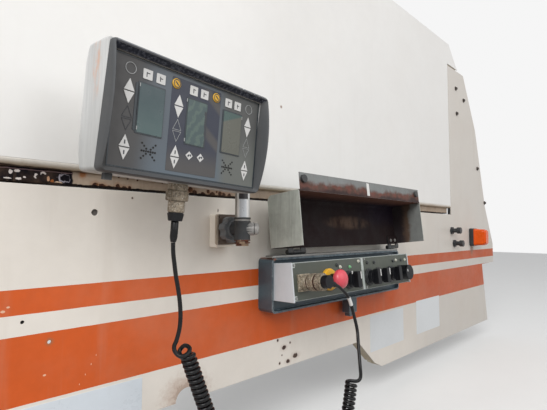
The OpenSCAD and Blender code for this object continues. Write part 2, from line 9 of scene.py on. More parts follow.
import bmesh
import bpy
import numpy as np
from mathutils import Matrix, Vector


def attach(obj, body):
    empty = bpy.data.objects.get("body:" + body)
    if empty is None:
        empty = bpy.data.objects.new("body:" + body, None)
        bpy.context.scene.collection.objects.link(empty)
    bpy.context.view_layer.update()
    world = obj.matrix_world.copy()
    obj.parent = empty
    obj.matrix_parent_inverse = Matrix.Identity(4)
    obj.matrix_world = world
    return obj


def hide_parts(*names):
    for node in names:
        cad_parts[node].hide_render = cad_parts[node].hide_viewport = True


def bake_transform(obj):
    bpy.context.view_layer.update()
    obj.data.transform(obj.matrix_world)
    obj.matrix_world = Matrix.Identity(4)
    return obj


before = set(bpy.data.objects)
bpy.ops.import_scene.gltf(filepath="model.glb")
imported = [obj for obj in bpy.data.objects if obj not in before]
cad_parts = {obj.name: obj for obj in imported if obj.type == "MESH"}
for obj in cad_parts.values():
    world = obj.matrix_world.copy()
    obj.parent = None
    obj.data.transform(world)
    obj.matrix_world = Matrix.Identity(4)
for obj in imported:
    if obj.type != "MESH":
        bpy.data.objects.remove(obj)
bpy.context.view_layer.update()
LOG = logging.getLogger("station")

Colour = tuple[float, float, float]
Point = tuple[float, float, float]
Outline = Sequence[tuple[float, float]]
Piece = bpy.types.Object
Mesh = bmesh.types.BMesh
Tree = bpy.types.NodeTree
Socket = bpy.types.NodeSocket
Sockets = bpy.types.NodeOutputs
MM = 0.001
X, Y, Z = range(3)

# Socket types of node groups
FLOAT, COLOUR, VECTOR = "NodeSocketFloat", "NodeSocketColor", "NodeSocketVector"
INT, TURN, MATERIAL = "NodeSocketInt", "NodeSocketRotation", "NodeSocketMaterial"
GEOMETRY = "NodeSocketGeometry"

# Places that part.scad also states, in millimetres
FACE_Y = -60.0
TERMINAL_AT = (-677.3, FACE_Y - 150.0, 141.2)
TERMINAL_TURN = (3.4, 3.9, 1.9)
CONTROL_FACE_AT = (0.0, FACE_Y - 91.5, -99.5)
CONTROL_FACE_LEAN = -6.5
HINGE_Y, HINGE_Z = FACE_Y - 41.0, -45.0
LID_LEFT, LID_RIGHT = -418.0, 85.0
LID_OPEN = -96.0
LID_REACH, LID_HEIGHT = 116.0, 86.0
BAR_KNOBS = (-224.0, -141.0, -99.0)
STOP_AT = (-298.0, 0.0, -3.5)
PLUG_X, PLUG_Z = -379.0, -3.0
CONNECTOR_AT = (1.3, 30.2, -77.0)


def srgb(r: int, g: int, b: int) -> Colour:
    """Linear colour of an 8-bit display colour."""
    return tuple(
        v / 12.92 if v <= 0.04045 else ((v + 0.055) / 1.055) ** 2.4
        for v in (r / 255, g / 255, b / 255)
    )


def local_frame(place: Point, turn: Matrix) -> Matrix:
    """Matrix from millimetres in a tilted local frame to metres in the row frame.

    Args:
        place: the local origin, in millimetres in the row frame.
        turn: the rotation.

    Returns:
        The 4 by 4 matrix.
    """
    return Matrix.Scale(MM, 4) @ Matrix.Translation(place) @ turn


def turned(degrees: float, axis: str) -> Matrix:
    """Rotation about a row axis."""
    return Matrix.Rotation(math.radians(degrees), 4, axis)


ROW = Matrix.Scale(MM, 4)
TERMINAL = local_frame(
    TERMINAL_AT,
    turned(TERMINAL_TURN[0], "Z") @ turned(TERMINAL_TURN[1], "X") @ turned(TERMINAL_TURN[2], "Y"),
)
CONTROL_FACE = local_frame(CONTROL_FACE_AT, turned(CONTROL_FACE_LEAN, "X"))
LID = local_frame((0.0, HINGE_Y, HINGE_Z), turned(LID_OPEN, "X"))


class Body(Enum):
    """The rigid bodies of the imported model."""

    PANEL = "panel"
    TERMINAL = "terminal"
    LID = "lid"


@dataclass(frozen=True)
class Finish:
    """One surface finish.

    Sizes are in metres and colours are 8-bit display colours. The paint step changes the base
    colour before rust, dirt and wear.
    """

    name: str
    colour: Colour
    roughness: float = 0.5
    metallic: float = 0.0
    coat: float = 0.0
    mottle: float = 0.08
    mottle_scale: float = 12.0
    grain: float = 0.12
    grain_scale: float = 700.0
    dirt: float = 0.0
    dirt_colour: Colour = (120, 104, 86)
    dirt_scale: float = 14.0
    wear: float = 0.0
    wear_colour: Colour = (150, 148, 142)
    wear_width: float = 0.0015
    rust: float = 0.0
    rust_scale: float = 25.0
    specular: float = 0.5
    paint: Optional[Callable] = None


class Nodes:
    """A thin helper that adds and links nodes in one tree."""

    def __init__(self, tree: Tree) -> None:
        """Keep the tree."""
        self.tree = tree

    def add(self, kind: str, settings: Optional[dict] = None, **inputs: object) -> bpy.types.Node:
        """Add a node, set its properties and its inputs.

        Args:
            kind: the node's type name.
            settings: properties of the node itself.
            inputs: input names, with "_" for a space, to a value or an output socket.

        Returns:
            The new node.
        """
        node = self.tree.nodes.new(kind)
        for key, value in (settings or {}).items():
            setattr(node, key, value)
        for key, value in inputs.items():
            self.plug(node, key.replace("_", " "), value)
        return node

    def plug(self, node: bpy.types.Node, key: object, value: object) -> None:
        """Set or link one input of a node.

        Args:
            node: the node.
            key: the input's name or number.
            value: a value or an output socket.
        """
        socket = node.inputs[key]
        if isinstance(value, Socket):
            self.tree.links.new(value, socket)
        elif isinstance(value, (tuple, list)) and socket.type == "RGBA":
            socket.default_value = (*value[:3], 1.0)
        else:
            socket.default_value = value

    def math(self, operation: str, *values: object, clamp: bool = False) -> Socket:
        """Add a Math node.

        Args:
            operation: its operation.
            values: values or output sockets for its inputs.
            clamp: keep the result between 0 and 1.

        Returns:
            Its output.
        """
        node = self.add("ShaderNodeMath", {"operation": operation, "use_clamp": clamp})
        for i, value in enumerate(values):
            self.plug(node, i, value)
        return node.outputs[0]

    def times(self, first: object, *others: object) -> object:
        """Product of two or more values.

        Args:
            first: the first value.
            others: the others.

        Returns:
            The product.
        """
        for other in others:
            first = self.math("MULTIPLY", first, other)
        return first

    def mix(self, factor: object, a: object, b: object, blend: str = "MIX") -> Socket:
        """Mix two colours.

        Args:
            factor: share of the second colour.
            a: the first colour.
            b: the second colour.
            blend: the blend type.

        Returns:
            The mixed colour.
        """
        node = self.add("ShaderNodeMix", {"data_type": "RGBA", "blend_type": blend})
        for key, value in ((0, factor), (6, a), (7, b)):
            self.plug(node, key, value)
        return node.outputs[2]

    def ramp(self, value: object, low: float, high: float) -> Socket:
        """Smooth step of a value.

        Args:
            value: the value.
            low: where it is 0.
            high: where it is 1.

        Returns:
            The step.
        """
        node = self.add("ShaderNodeMapRange", {"interpolation_type": "SMOOTHSTEP"})
        for key, given in enumerate((value, low, high)):
            self.plug(node, key, given)
        return node.outputs[0]

    def plus(self, first: object, second: object) -> Socket:
        """Sum of two values."""
        return self.math("ADD", first, second)

    def minus(self, first: object, second: object) -> Socket:
        """Difference of two values."""
        return self.math("SUBTRACT", first, second)

    def fall(self, value: object, low: float, high: float) -> Socket:
        """Smooth step of a value, from 1 at low to 0 at high."""
        return self.minus(1.0, self.ramp(value, low, high))

    def between(self, value: object, span: Sequence[float]) -> object:
        """Mask that rises over a span's first two numbers and falls over its last two."""
        return self.times(self.ramp(value, *span[:2]), self.ramp(value, span[3], span[2]))

    def noise(
        self, scale: object, detail: float = 5.0, stretch: Point = (1.0, 1.0, 1.0),
        shift: float = 0.0,
    ) -> Socket:
        """Fractal noise on Object coordinates.

        Args:
            scale: how fine it is.
            detail: its octaves.
            stretch: how much finer it is along each axis.
            shift: moves it, so that two noises differ.

        Returns:
            The noise, from 0 to 1.
        """
        mapped = self.add("ShaderNodeMapping", Vector=self.place())
        mapped.inputs["Scale"].default_value = stretch
        mapped.inputs["Location"].default_value = (shift, shift * 0.7, -shift)
        node = self.add("ShaderNodeTexNoise", Vector=mapped.outputs[0], Scale=scale)
        node.inputs["Detail"].default_value = detail
        node.inputs["Roughness"].default_value = 0.6
        return node.outputs["Fac"]

    def place(self) -> Socket:
        """Object coordinates."""
        return self.add("ShaderNodeTexCoord").outputs["Object"]

    def axis(self, axis: int) -> Socket:
        """One of the Object coordinates, in metres."""
        return self.add("ShaderNodeSeparateXYZ", Vector=self.place()).outputs[axis]

    def ragged(self, axis: int, scale: float, swing: float) -> Socket:
        """One of the Object coordinates, shifted to and fro by noise."""
        shift = self.times(self.minus(self.noise(scale, 6.0), 0.5), swing)
        return self.plus(self.axis(axis), shift)

    def grey(self, level: object) -> Socket:
        """Grey of a level."""
        return self.add("ShaderNodeCombineColor", Red=level, Green=level, Blue=level).outputs[0]

    def seen(self) -> Socket:
        """1 for what the camera sees, itself or in a reflection, else 0."""
        path = self.add("ShaderNodeLightPath")
        return self.math("MAXIMUM", path.outputs["Is Camera Ray"], path.outputs["Is Glossy Ray"])


Paint = Callable[[Nodes, object], object]


def node_group(
    name: str, inputs: dict, outputs: dict, kind: str = "ShaderNodeTree"
) -> Callable[[Callable], Callable[[], Tree]]:
    """Turn a function that wires nodes into one that gives their group, built once.

    Args:
        name: the group's name.
        inputs: input name to its socket type and default.
        outputs: output name to its socket type.
        kind: the type of its tree.

    Returns:
        The decorator.
    """

    def build(wire: Callable[[Nodes, Sockets], dict]) -> Tree:
        """Build the group.

        Args:
            wire: adds its nodes.

        Returns:
            The group.
        """
        tree = bpy.data.node_groups.new(name, kind)
        for key, (type_of, default) in inputs.items():
            socket = tree.interface.new_socket(name=key, in_out="INPUT", socket_type=type_of)
            if default is not None:
                socket.default_value = default
        for key, type_of in outputs.items():
            tree.interface.new_socket(name=key, in_out="OUTPUT", socket_type=type_of)
        nodes = Nodes(tree)
        made = wire(nodes, nodes.add("NodeGroupInput").outputs)
        nodes.add("NodeGroupOutput", **made)
        return tree

    def decorate(wire: Callable[[Nodes, Sockets], dict]) -> Callable[[], Tree]:
        """Let the group stand for the function that wires it."""
        return lambda: bpy.data.node_groups.get(name) or build(wire)

    return decorate


@node_group(
    "Slow colour change",
    {"Colour": (COLOUR, None), "Amount": (FLOAT, 0.1), "Scale": (FLOAT, 10.0)},
    {"Colour": COLOUR, "Level": FLOAT},
)
def mottle_group(n: Nodes, i: Sockets) -> dict:
    """Vary a colour slowly, as old paint does.

    Args:
        n: the helper.
        i: the group's inputs.

    Returns:
        Its outputs by name.
    """
    wide = n.ramp(n.noise(i["Scale"], 4.0), 0.3, 0.7)
    fine = n.ramp(n.noise(n.times(i["Scale"], 9.0), 3.0, shift=3.1), 0.3, 0.7)
    both = n.plus(n.times(wide, 0.7), n.times(fine, 0.3))
    level = n.plus(n.times(n.minus(both, 0.5), i["Amount"]), 1.0)
    return {"Colour": n.mix(1.0, i["Colour"], n.grey(level), "MULTIPLY"), "Level": both}


@node_group(
    "Dust and streaks",
    {
        "Colour": (COLOUR, None), "Dirt colour": (COLOUR, None), "Amount": (FLOAT, 0.2),
        "Scale": (FLOAT, 14.0),
    },
    {"Colour": COLOUR, "Mask": FLOAT},
)
def dirt_group(n: Nodes, i: Sockets) -> dict:
    """Lay dust and downward streaks over a colour.

    Args:
        n: the helper.
        i: the group's inputs.

    Returns:
        Its outputs by name.
    """
    patch = n.ramp(n.noise(i["Scale"], 6.0, shift=1.7), 0.42, 0.75)
    streak = n.ramp(n.noise(i["Scale"], 4.0, (6.0, 6.0, 0.5), 5.3), 0.5, 0.8)
    mask = n.math("MULTIPLY", n.math("MAXIMUM", patch, streak), i["Amount"], clamp=True)
    return {"Colour": n.mix(mask, i["Colour"], i["Dirt colour"]), "Mask": mask}


@node_group(
    "Edge wear",
    {
        "Colour": (COLOUR, None), "Wear colour": (COLOUR, None), "Width": (FLOAT, 0.0015),
        "Amount": (FLOAT, 0.5),
    },
    {"Colour": COLOUR, "Mask": FLOAT},
)
def wear_group(n: Nodes, i: Sockets) -> dict:
    """Rub a colour through along the edges.

    Args:
        n: the helper.
        i: the group's inputs.

    Returns:
        Its outputs by name.
    """
    rounded = n.add("ShaderNodeBevel", {"samples": 4}, Radius=i["Width"])
    dot = n.add("ShaderNodeVectorMath", {"operation": "DOT_PRODUCT"})
    n.plug(dot, 0, rounded.outputs[0])
    n.plug(dot, 1, n.add("ShaderNodeNewGeometry").outputs["Normal"])
    edge = n.ramp(n.minus(1.0, dot.outputs["Value"]), 0.004, 0.12)
    broken = n.ramp(n.noise(90.0, 5.0, shift=2.2), 0.38, 0.62)
    mask = n.math("MULTIPLY", n.times(edge, broken), i["Amount"], clamp=True)
    return {"Colour": n.mix(mask, i["Colour"], i["Wear colour"]), "Mask": mask}


@node_group(
    "Rust patches",
    {"Colour": (COLOUR, None), "Amount": (FLOAT, 0.2), "Scale": (FLOAT, 25.0)},
    {"Colour": COLOUR, "Mask": FLOAT},
)
def rust_group(n: Nodes, i: Sockets) -> dict:
    """Spread rust in patches, from dark brown to orange.

    Args:
        n: the helper.
        i: the group's inputs.

    Returns:
        Its outputs by name.
    """
    low = n.minus(0.78, n.times(i["Amount"], 0.55))
    mask = n.ramp(n.noise(i["Scale"], 8.0, shift=8.8), low, n.plus(low, 0.07))
    tone = n.add("ShaderNodeValToRGB", Fac=n.noise(n.times(i["Scale"], 3.0), 6.0))
    stops = tone.color_ramp.elements
    stops[0].position, stops[0].color = 0.32, (*srgb(38, 22, 18), 1.0)
    stops[1].position, stops[1].color = 0.72, (*srgb(128, 70, 40), 1.0)
    stops.new(0.5).color = (*srgb(74, 40, 28), 1.0)
    return {"Colour": n.mix(mask, i["Colour"], tone.outputs[0]), "Mask": mask}


@node_group(
    "Surface grain",
    {"Scale": (FLOAT, 700.0), "Strength": (FLOAT, 0.1)},
    {"Normal": VECTOR},
)
def grain_group(n: Nodes, i: Sockets) -> dict:
    """Give the fine unevenness of a surface as a normal.

    Args:
        n: the helper.
        i: the group's inputs.

    Returns:
        Its outputs by name.
    """
    wavy = n.times(n.noise(18.0, 2.0, shift=4.0), 0.6)
    height = n.plus(n.noise(i["Scale"], 3.0), wavy)
    bump = n.add("ShaderNodeBump", Height=height, Strength=i["Strength"], Distance=0.0006)
    return {"Normal": bump.outputs[0]}


@node_group(
    "Ragged spot",
    {
        "X": (FLOAT, 0.0), "Z": (FLOAT, 0.0), "Radius": (FLOAT, 0.005), "Stretch": (FLOAT, 1.0),
        "Rough": (FLOAT, 160.0),
    },
    {"Core": FLOAT, "Halo": FLOAT},
)
def spot_group(n: Nodes, i: Sockets) -> dict:
    """Mark a ragged spot round a point of the X-Z plane.

    Args:
        n: the helper.
        i: the group's inputs.

    Returns:
        Its outputs by name.
    """
    dx = n.math("DIVIDE", n.minus(n.axis(X), i["X"]), i["Stretch"])
    dz = n.minus(n.axis(Z), i["Z"])
    far = n.math("SQRT", n.plus(n.times(dx, dx), n.times(dz, dz)))
    ragged = n.times(n.minus(n.noise(i["Rough"], 5.0), 0.5), 1.3)
    away = n.plus(n.math("DIVIDE", far, i["Radius"]), ragged)
    return {"Core": n.fall(away, 0.75, 0.95), "Halo": n.fall(away, 0.6, 2.1)}


@node_group(
    "Painted band",
    {"Low": (FLOAT, 0.0), "High": (FLOAT, 0.1)},
    {"Mask": FLOAT},
)
def band_group(n: Nodes, i: Sockets) -> dict:
    """Mark a level painted band between two heights.

    Args:
        n: the helper.
        i: the group's inputs.

    Returns:
        Its outputs by name.
    """
    ragged = n.times(n.minus(n.noise(60.0, 3.0), 0.5), 0.0008)
    level = n.plus(n.axis(Z), ragged)
    over = n.math("GREATER_THAN", level, i["Low"])
    return {"Mask": n.times(over, n.math("LESS_THAN", level, i["High"]))}


# How much a surface's roughness changes with its mottle, rust and dust, and a coat's own
ROUGH_SWING, RUST_ROUGHNESS, DIRT_ROUGHNESS, COAT_ROUGHNESS = 0.25, 0.85, 0.3, 0.12


def use_group(n: Nodes, tree: Tree, **inputs: object) -> bpy.types.Node:
    """Place a node group in a material, with its own values."""
    return n.add("ShaderNodeGroup", {"node_tree": tree}, **inputs)


def make_material(finish: Finish) -> bpy.types.Material:
    """Build the material of a finish.

    Args:
        finish: its values.

    Returns:
        The material.
    """
    known = bpy.data.materials.get(finish.name)
    if known:
        return known
    material = bpy.data.materials.new(finish.name)
    material.use_nodes = True
    material.node_tree.nodes.clear()
    n = Nodes(material.node_tree)
    plain = srgb(*finish.colour)
    base = use_group(
        n, mottle_group(), Colour=plain, Amount=finish.mottle, Scale=finish.mottle_scale
    )
    colour: object = base.outputs["Colour"]
    level = n.times(n.minus(base.outputs["Level"], 0.5), ROUGH_SWING)
    rough: object = n.plus(level, finish.roughness)
    metal: object = finish.metallic
    if finish.paint:
        colour = finish.paint(n, colour)
    if finish.rust > 0.0:
        rust = use_group(
            n, rust_group(), Colour=colour, Amount=finish.rust, Scale=finish.rust_scale
        )
        colour = rust.outputs["Colour"]
        rough = n.math("MAXIMUM", rough, n.times(rust.outputs["Mask"], RUST_ROUGHNESS))
        if finish.metallic > 0.0:
            bare = n.minus(1.0, rust.outputs["Mask"])
            metal = n.times(bare, finish.metallic)
    if finish.dirt > 0.0:
        dirt = use_group(
            n, dirt_group(), Colour=colour, Dirt_colour=srgb(*finish.dirt_colour),
            Amount=finish.dirt, Scale=finish.dirt_scale,
        )
        colour = dirt.outputs["Colour"]
        dull = n.times(dirt.outputs["Mask"], DIRT_ROUGHNESS)
        rough = n.math("ADD", rough, dull, clamp=True)
    if finish.wear > 0.0:
        wear = use_group(
            n, wear_group(), Colour=colour, Wear_colour=srgb(*finish.wear_colour),
            Width=finish.wear_width, Amount=finish.wear,
        )
        colour = wear.outputs["Colour"]
    grain = use_group(n, grain_group(), Scale=finish.grain_scale, Strength=finish.grain)
    shader = n.add(
        "ShaderNodeBsdfPrincipled", Base_Color=colour, Roughness=rough, Metallic=metal,
        Normal=grain.outputs["Normal"], Coat_Weight=finish.coat, Coat_Roughness=COAT_ROUGHNESS,
        Specular_IOR_Level=finish.specular,
    )
    n.add("ShaderNodeOutputMaterial", Surface=shader.outputs[0])
    material.diffuse_color = (*plain, 1.0)
    return material


ORANGE = srgb(206, 90, 34)
BROWN = srgb(58, 36, 28)


@dataclass(frozen=True)
class Spot:
    """A chip or stain on the sheets: place and radius in millimetres, and how far it is seen."""

    x: float
    z: float
    radius: float
    stretch: float = 1.0
    core: float = 1.0
    halo: float = 0.25
    colour: Colour = BROWN
    rough: float = 160.0


CHIP = srgb(236, 200, 170)
SHEET_SPOTS = (
    Spot(-753, 27, 5.0, 1.0, 1.0, 0.0), Spot(-357, -236, 3.2), Spot(-338, -255, 5.0, 1.6),
    Spot(-318, -248, 2.6), Spot(-301, -279, 5.6, 1.9), Spot(-351, -286, 3.0),
    Spot(-325, -287, 4.6, 1.7), Spot(-344, -270, 1.8), Spot(-694, 52, 1.8),
    Spot(-521, 38, 3.4, 0.35), Spot(-810, -155, 3.6, 1.0, 0.0, 0.7),
    Spot(-745, -186, 1.4, 0.4, 0.9, 0.0, CHIP), Spot(-752, -198, 1.6, 0.4, 0.9, 0.0, CHIP),
    Spot(-760, -211, 1.8, 0.4, 0.9, 0.0, CHIP), Spot(-768, -223, 1.5, 0.4, 0.9, 0.0, CHIP),
    Spot(-867, -106, 1.8, 1.6, 0.8, 0.0, CHIP), Spot(-861, -101, 1.6, 1.6, 0.8, 0.0, CHIP),
    Spot(-815, -199, 1.6, 1.5, 0.8, 0.0, CHIP),
    Spot(-585, -286, 22.0, 1.4, 0.25, 0.5, srgb(112, 78, 52)),
    Spot(794, -78, 16.0, 0.8, 0.4, 0.6, srgb(120, 62, 40)),
)
COVER_SPOTS = (Spot(-347, 278, 2.6, 1.0, 0.8, 0.5, srgb(120, 92, 74)),)
RECESS_SPOTS = (
    Spot(-769, 85, 5.0, 0.8, 0.4, 0.9, srgb(140, 84, 46)), Spot(-750, 70, 4.6, 1.1, 1.0, 0.5),
    Spot(-739, 69, 4.0, 1.6, 1.0, 0.5), Spot(-728, 68, 3.0, 2.0, 1.0, 0.4),
    Spot(-714, 71, 4.0, 1.1, 1.0, 0.5), Spot(-703, 69, 3.2, 1.5, 1.0, 0.4),
    Spot(-694, 70, 3.4, 1.0, 1.0, 0.4), Spot(-577, 75, 5.6, 1.1, 1.0, 0.4),
    Spot(-568, 71, 5.0, 1.4, 1.0, 0.4), Spot(-549, 69, 4.0, 1.6, 1.0, 0.3),
    Spot(-537, 74, 4.4, 1.0, 1.0, 0.4), Spot(-527, 70, 4.4, 1.6, 1.0, 0.4),
    Spot(-517, 75, 2.6, 1.0, 1.0, 0.3), Spot(-509, 72, 5.0, 1.1, 1.0, 0.4),
    Spot(-499, 71, 4.4, 1.2, 1.0, 0.4), Spot(-486, 70, 4.4, 1.3, 1.0, 0.4),
)
HALO = srgb(150, 104, 70)
FLAKE = srgb(214, 206, 202)
BLACK = srgb(10, 8, 16)


def flake(
    x: float, z: float, radius: float, stretch: float, colour: Colour = FLAKE, rough: float = 420.0
) -> Spot:
    """A flake of paint, without a halo."""
    return Spot(x, z, radius, stretch, 1.0, 0.0, colour, rough)


PALE_FLAKES = (
    flake(-863, 79, 3.4, 0.8), flake(-855, 81, 2.4, 1.8), flake(-866, 70, 1.4, 3.4),
    flake(-853, 70, 2.6, 1.6), flake(-846, 73, 1.5, 1.6), flake(-844, 67, 1.5, 1.4),
    flake(-832, 76, 4.2, 0.7), flake(-830, 75, 3.0, 0.8, BLACK), flake(-823, 80, 3.4, 1.2),
    flake(-823, 78, 2.8, 1.1, BLACK), Spot(-816, 73, 5.0, 0.4, 0.9, 0.0, srgb(200, 158, 128), 300),
    flake(-811, 70, 3.8, 0.7, srgb(150, 88, 44), 300),
    flake(-803, 68, 3.0, 2.4, srgb(206, 180, 156), 300),
    flake(-795, 76, 7.2, 1.35, srgb(170, 166, 176), 200), flake(-794, 76.4, 6.2, 1.35, BLACK, 200),
)
TRAY_SPOTS = (Spot(-407, -58, 3.4, 1.0, 0.8, 0.5, srgb(128, 60, 28)),)


def spots_paint(spots: Sequence[Spot], first: Optional[Paint] = None) -> Paint:
    """Make the paint step that lays spots over a colour.

    Args:
        spots: the spots.
        first: the paint step that comes before them, if any.

    Returns:
        The paint step.
    """

    def paint(n: Nodes, colour: object) -> object:
        """Lay the spots.

        Args:
            n: the helper.
            colour: the colour so far.

        Returns:
            The new colour.
        """
        if first:
            colour = first(n, colour)
        for spot in spots:
            made = use_group(
                n, spot_group(), X=spot.x * MM, Z=spot.z * MM, Radius=spot.radius * MM,
                Stretch=spot.stretch, Rough=spot.rough,
            )
            if spot.halo > 0.0:
                colour = n.mix(n.times(made.outputs["Halo"], spot.halo), colour, HALO)
            if spot.core > 0.0:
                colour = n.mix(n.times(made.outputs["Core"], spot.core), colour, spot.colour)
        return colour

    return paint


def stripes_paint(n: Nodes, colour: object) -> object:
    """Lay the two orange bands over the cream of the sheet's front face and paint shade towards the
    right.

    Args:
        n: the helper.
        colour: the colour so far.

    Returns:
        The new colour.
    """
    front = n.fall(n.axis(Y), -0.0588, -0.0582)
    for low, high in ((-0.113, -0.079), (-0.232, -0.141)):
        band = use_group(n, band_group(), Low=low, High=high)
        worn = n.ramp(n.noise(35.0, 7.0, shift=6.0), 0.2, 0.28)
        tint = use_group(n, mottle_group(), Colour=ORANGE, Amount=0.16, Scale=7.0)
        mask = n.times(band.outputs["Mask"], worn, front)
        colour = n.mix(mask, colour, tint.outputs["Colour"])
    # Painted shade: the whole sheet is darkened towards the right with a cool grey.
    far = n.times(n.ramp(n.axis(X), 0.10, 0.45), 0.28)
    return n.mix(far, colour, srgb(158, 160, 164), "MULTIPLY")


def peel_paint(n: Nodes, colour: object) -> object:
    """Blacken the left end of the recess, with rust blots and pale flakes, and its foot with
    painted shadow.

    Args:
        n: the helper.
        colour: the colour so far.

    Returns:
        The new colour.
    """
    colour = spots_paint(RECESS_SPOTS)(n, colour)
    black = n.fall(n.ragged(X, 60.0, 0.02), -0.785, -0.782)
    colour = n.mix(black, colour, BLACK)
    colour = spots_paint(PALE_FLAKES)(n, colour)
    line = n.between(n.ragged(Z, 70.0, 0.003), (0.0832, 0.0836, 0.0844, 0.0848))
    colour = n.mix(n.times(line, black), colour, srgb(112, 92, 96))
    # Painted shadow: a black line along the foot of the recess, in the gap above the sheet.
    foot = n.fall(n.ragged(Z, 110.0, 0.005), 0.0686, 0.0696)
    return n.mix(foot, colour, srgb(8, 6, 8))


def roll_paint(n: Nodes, colour: object) -> object:
    """Tan towards the bottom of the rolled lip, darker at its very bottom, blackened at its left
    end.

    Args:
        n: the helper.
        colour: the colour so far.

    Returns:
        The new colour.
    """
    level = n.ragged(Z, 40.0, 0.003)
    low = n.times(n.fall(level, 0.0870, 0.0955), 0.8)
    colour = n.mix(low, colour, srgb(166, 146, 120))
    left = n.fall(n.ragged(X, 30.0, 0.05), -0.785, -0.755)
    dark = n.fall(n.ragged(Z, 22.0, 0.006), 0.0872, 0.0892)
    colour = n.mix(n.times(left, dark), colour, srgb(38, 20, 16))
    under = n.times(n.fall(level, 0.0868, 0.0876), 0.6)
    return n.mix(under, colour, srgb(110, 88, 68))


def flange_paint(n: Nodes, colour: object) -> object:
    """Cream overspray on the flange's left rim."""
    return n.mix(n.fall(n.axis(X), -0.5410, -0.5395), colour, srgb(196, 180, 162))


def lip_paint(n: Nodes, colour: object) -> object:
    """Rust on the lower part of the lid's lip, darker towards the inside.

    Args:
        n: the helper.
        colour: the colour so far.

    Returns:
        The new colour.
    """
    level = n.ragged(Z, 20.0, 0.046)
    tone = n.mix(n.ramp(n.noise(60.0, 6.0), 0.35, 0.65), srgb(104, 60, 50), srgb(78, 56, 46))
    colour = n.mix(n.fall(level, 0.092, 0.102), colour, tone)
    return n.mix(n.fall(level, 0.080, 0.090), colour, srgb(42, 24, 22))


def cheek_paint(n: Nodes, colour: object) -> object:
    """Rust that spreads over the right cheek from the lid's back.

    Args:
        n: the helper.
        colour: the colour so far.

    Returns:
        The new colour.
    """
    level = n.ragged(Y, 24.0, 0.05)
    colour = n.mix(n.ramp(level, -0.152, -0.140), colour, srgb(86, 66, 52))
    return n.mix(n.ramp(level, -0.140, -0.118), colour, srgb(26, 14, 18))


def inside_paint(n: Nodes, colour: object) -> object:
    """Brown patches in the lid, a rusty front of its roof, purple-black at its upper right.

    Args:
        n: the helper.
        colour: the colour so far.

    Returns:
        The new colour.
    """
    x, y, z = n.axis(X), n.axis(Y), n.axis(Z)
    dx = n.math("DIVIDE", n.plus(x, 0.140), 0.085)
    dz = n.math("DIVIDE", n.minus(z, 0.020), 0.015)
    near = n.fall(n.plus(n.times(dx, dx), n.times(dz, dz)), 0.0, 1.8)
    blotch = n.ramp(n.noise(40.0, 6.0, (1.0, 1.0, 0.5), 2.0), 0.32, 0.62)
    colour = n.mix(n.times(near, blotch), colour, srgb(88, 70, 58))
    high = n.times(n.ramp(z, 0.0, 0.04), n.ramp(x, -0.16, 0.02))
    colour = n.mix(high, colour, srgb(18, 8, 22))
    front = n.ramp(n.plus(y, n.times(n.noise(30.0, 5.0), 0.03)), -0.080, -0.150)
    roof = n.times(n.ramp(z, 0.066, 0.070), front)
    return n.mix(roof, colour, srgb(100, 66, 54))


def streak_paint(n: Nodes, colour: object) -> object:
    """Fine upright streaks, as rain leaves them on bare metal.

    Args:
        n: the helper.
        colour: the colour so far.

    Returns:
        The new colour.
    """
    wide = n.ramp(n.noise(60.0, 5.0, (1.0, 1.0, 0.07), 3.0), 0.32, 0.70)
    fine = n.ramp(n.noise(260.0, 4.0, (1.0, 1.0, 0.05), 1.0), 0.30, 0.72)
    level = n.plus(n.times(wide, 0.6), n.times(fine, 0.4))
    shade = n.plus(n.times(level, 0.30), 0.80)
    return n.mix(1.0, colour, n.grey(shade), "MULTIPLY")


def cast_paint(n: Nodes, colour: object) -> object:
    """Streaks on the housing, painted shade low down, a scuff high on its left, dots underneath.

    Args:
        n: the helper.
        colour: the colour so far.

    Returns:
        The new colour.
    """
    colour = streak_paint(n, colour)
    x, y, height = n.axis(X), n.axis(Y), n.axis(Z)
    # Painted shade: the housing is darkened towards its bottom.
    low = n.times(n.ramp(height, 0.185, 0.070), 0.5)
    colour = n.mix(low, colour, srgb(140, 141, 138))
    band = n.between(n.ragged(Y, 30.0, 0.02), (-0.208, -0.200, -0.192, -0.184))
    left = n.math("LESS_THAN", x, -0.79)
    rough = n.ramp(n.noise(120.0, 5.0, (1.0, 1.0, 0.3)), 0.42, 0.66)
    scuff = n.times(band, left, n.ramp(height, 0.150, 0.185), rough, 0.85)
    colour = n.mix(scuff, colour, srgb(212, 162, 130))
    rise = n.plus(n.times(n.plus(x, 0.7766), 0.348), -0.1829)
    drop = n.minus(-0.1519, n.times(n.plus(x, 0.6473), 0.5))
    row = n.math("MINIMUM", n.math("MINIMUM", rise, drop), -0.152)
    off = n.math("ABSOLUTE", n.minus(y, row))
    wave = n.math("SINE", n.times(x, 560.0))
    under = n.math("LESS_THAN", height, 0.071)
    dots = n.times(n.ramp(wave, -0.1, 0.3), n.ramp(off, 0.0026, 0.0018), under)
    return n.mix(dots, colour, srgb(52, 44, 40))


def film_paint(n: Nodes, colour: object) -> object:
    """Warm grey at the left of the face film, blue-grey low in the middle, olive at the right.

    Args:
        n: the helper.
        colour: the colour so far.

    Returns:
        The new colour.
    """
    x, z = n.axis(X), n.axis(Z)
    colour = n.mix(n.ramp(x, -0.770, -0.730), srgb(73, 72, 72), colour)
    low = n.times(n.ramp(z, 0.13, 0.075), n.ramp(x, -0.78, -0.72))
    colour = n.mix(low, colour, srgb(96, 107, 116))
    olive = n.mix(n.ramp(z, 0.17, 0.10), srgb(84, 85, 84), srgb(104, 107, 103))
    return n.mix(n.ramp(x, -0.640, -0.615), colour, olive)


def centre_paint(n: Nodes, colour: object) -> object:
    """Slanting reflections on the dark centre film.

    Args:
        n: the helper.
        colour: the colour so far.

    Returns:
        The new colour.
    """
    x, z = n.axis(X), n.axis(Z)
    soft = n.ramp(n.math("SINE", n.times(n.plus(n.times(x, 0.8), z), 110.0)), 0.2, 1.0)
    colour = n.mix(n.ramp(z, 0.120, 0.085), colour, srgb(76, 74, 74))
    return n.mix(n.times(soft, n.ramp(x, -0.672, -0.650)), colour, srgb(76, 74, 74))


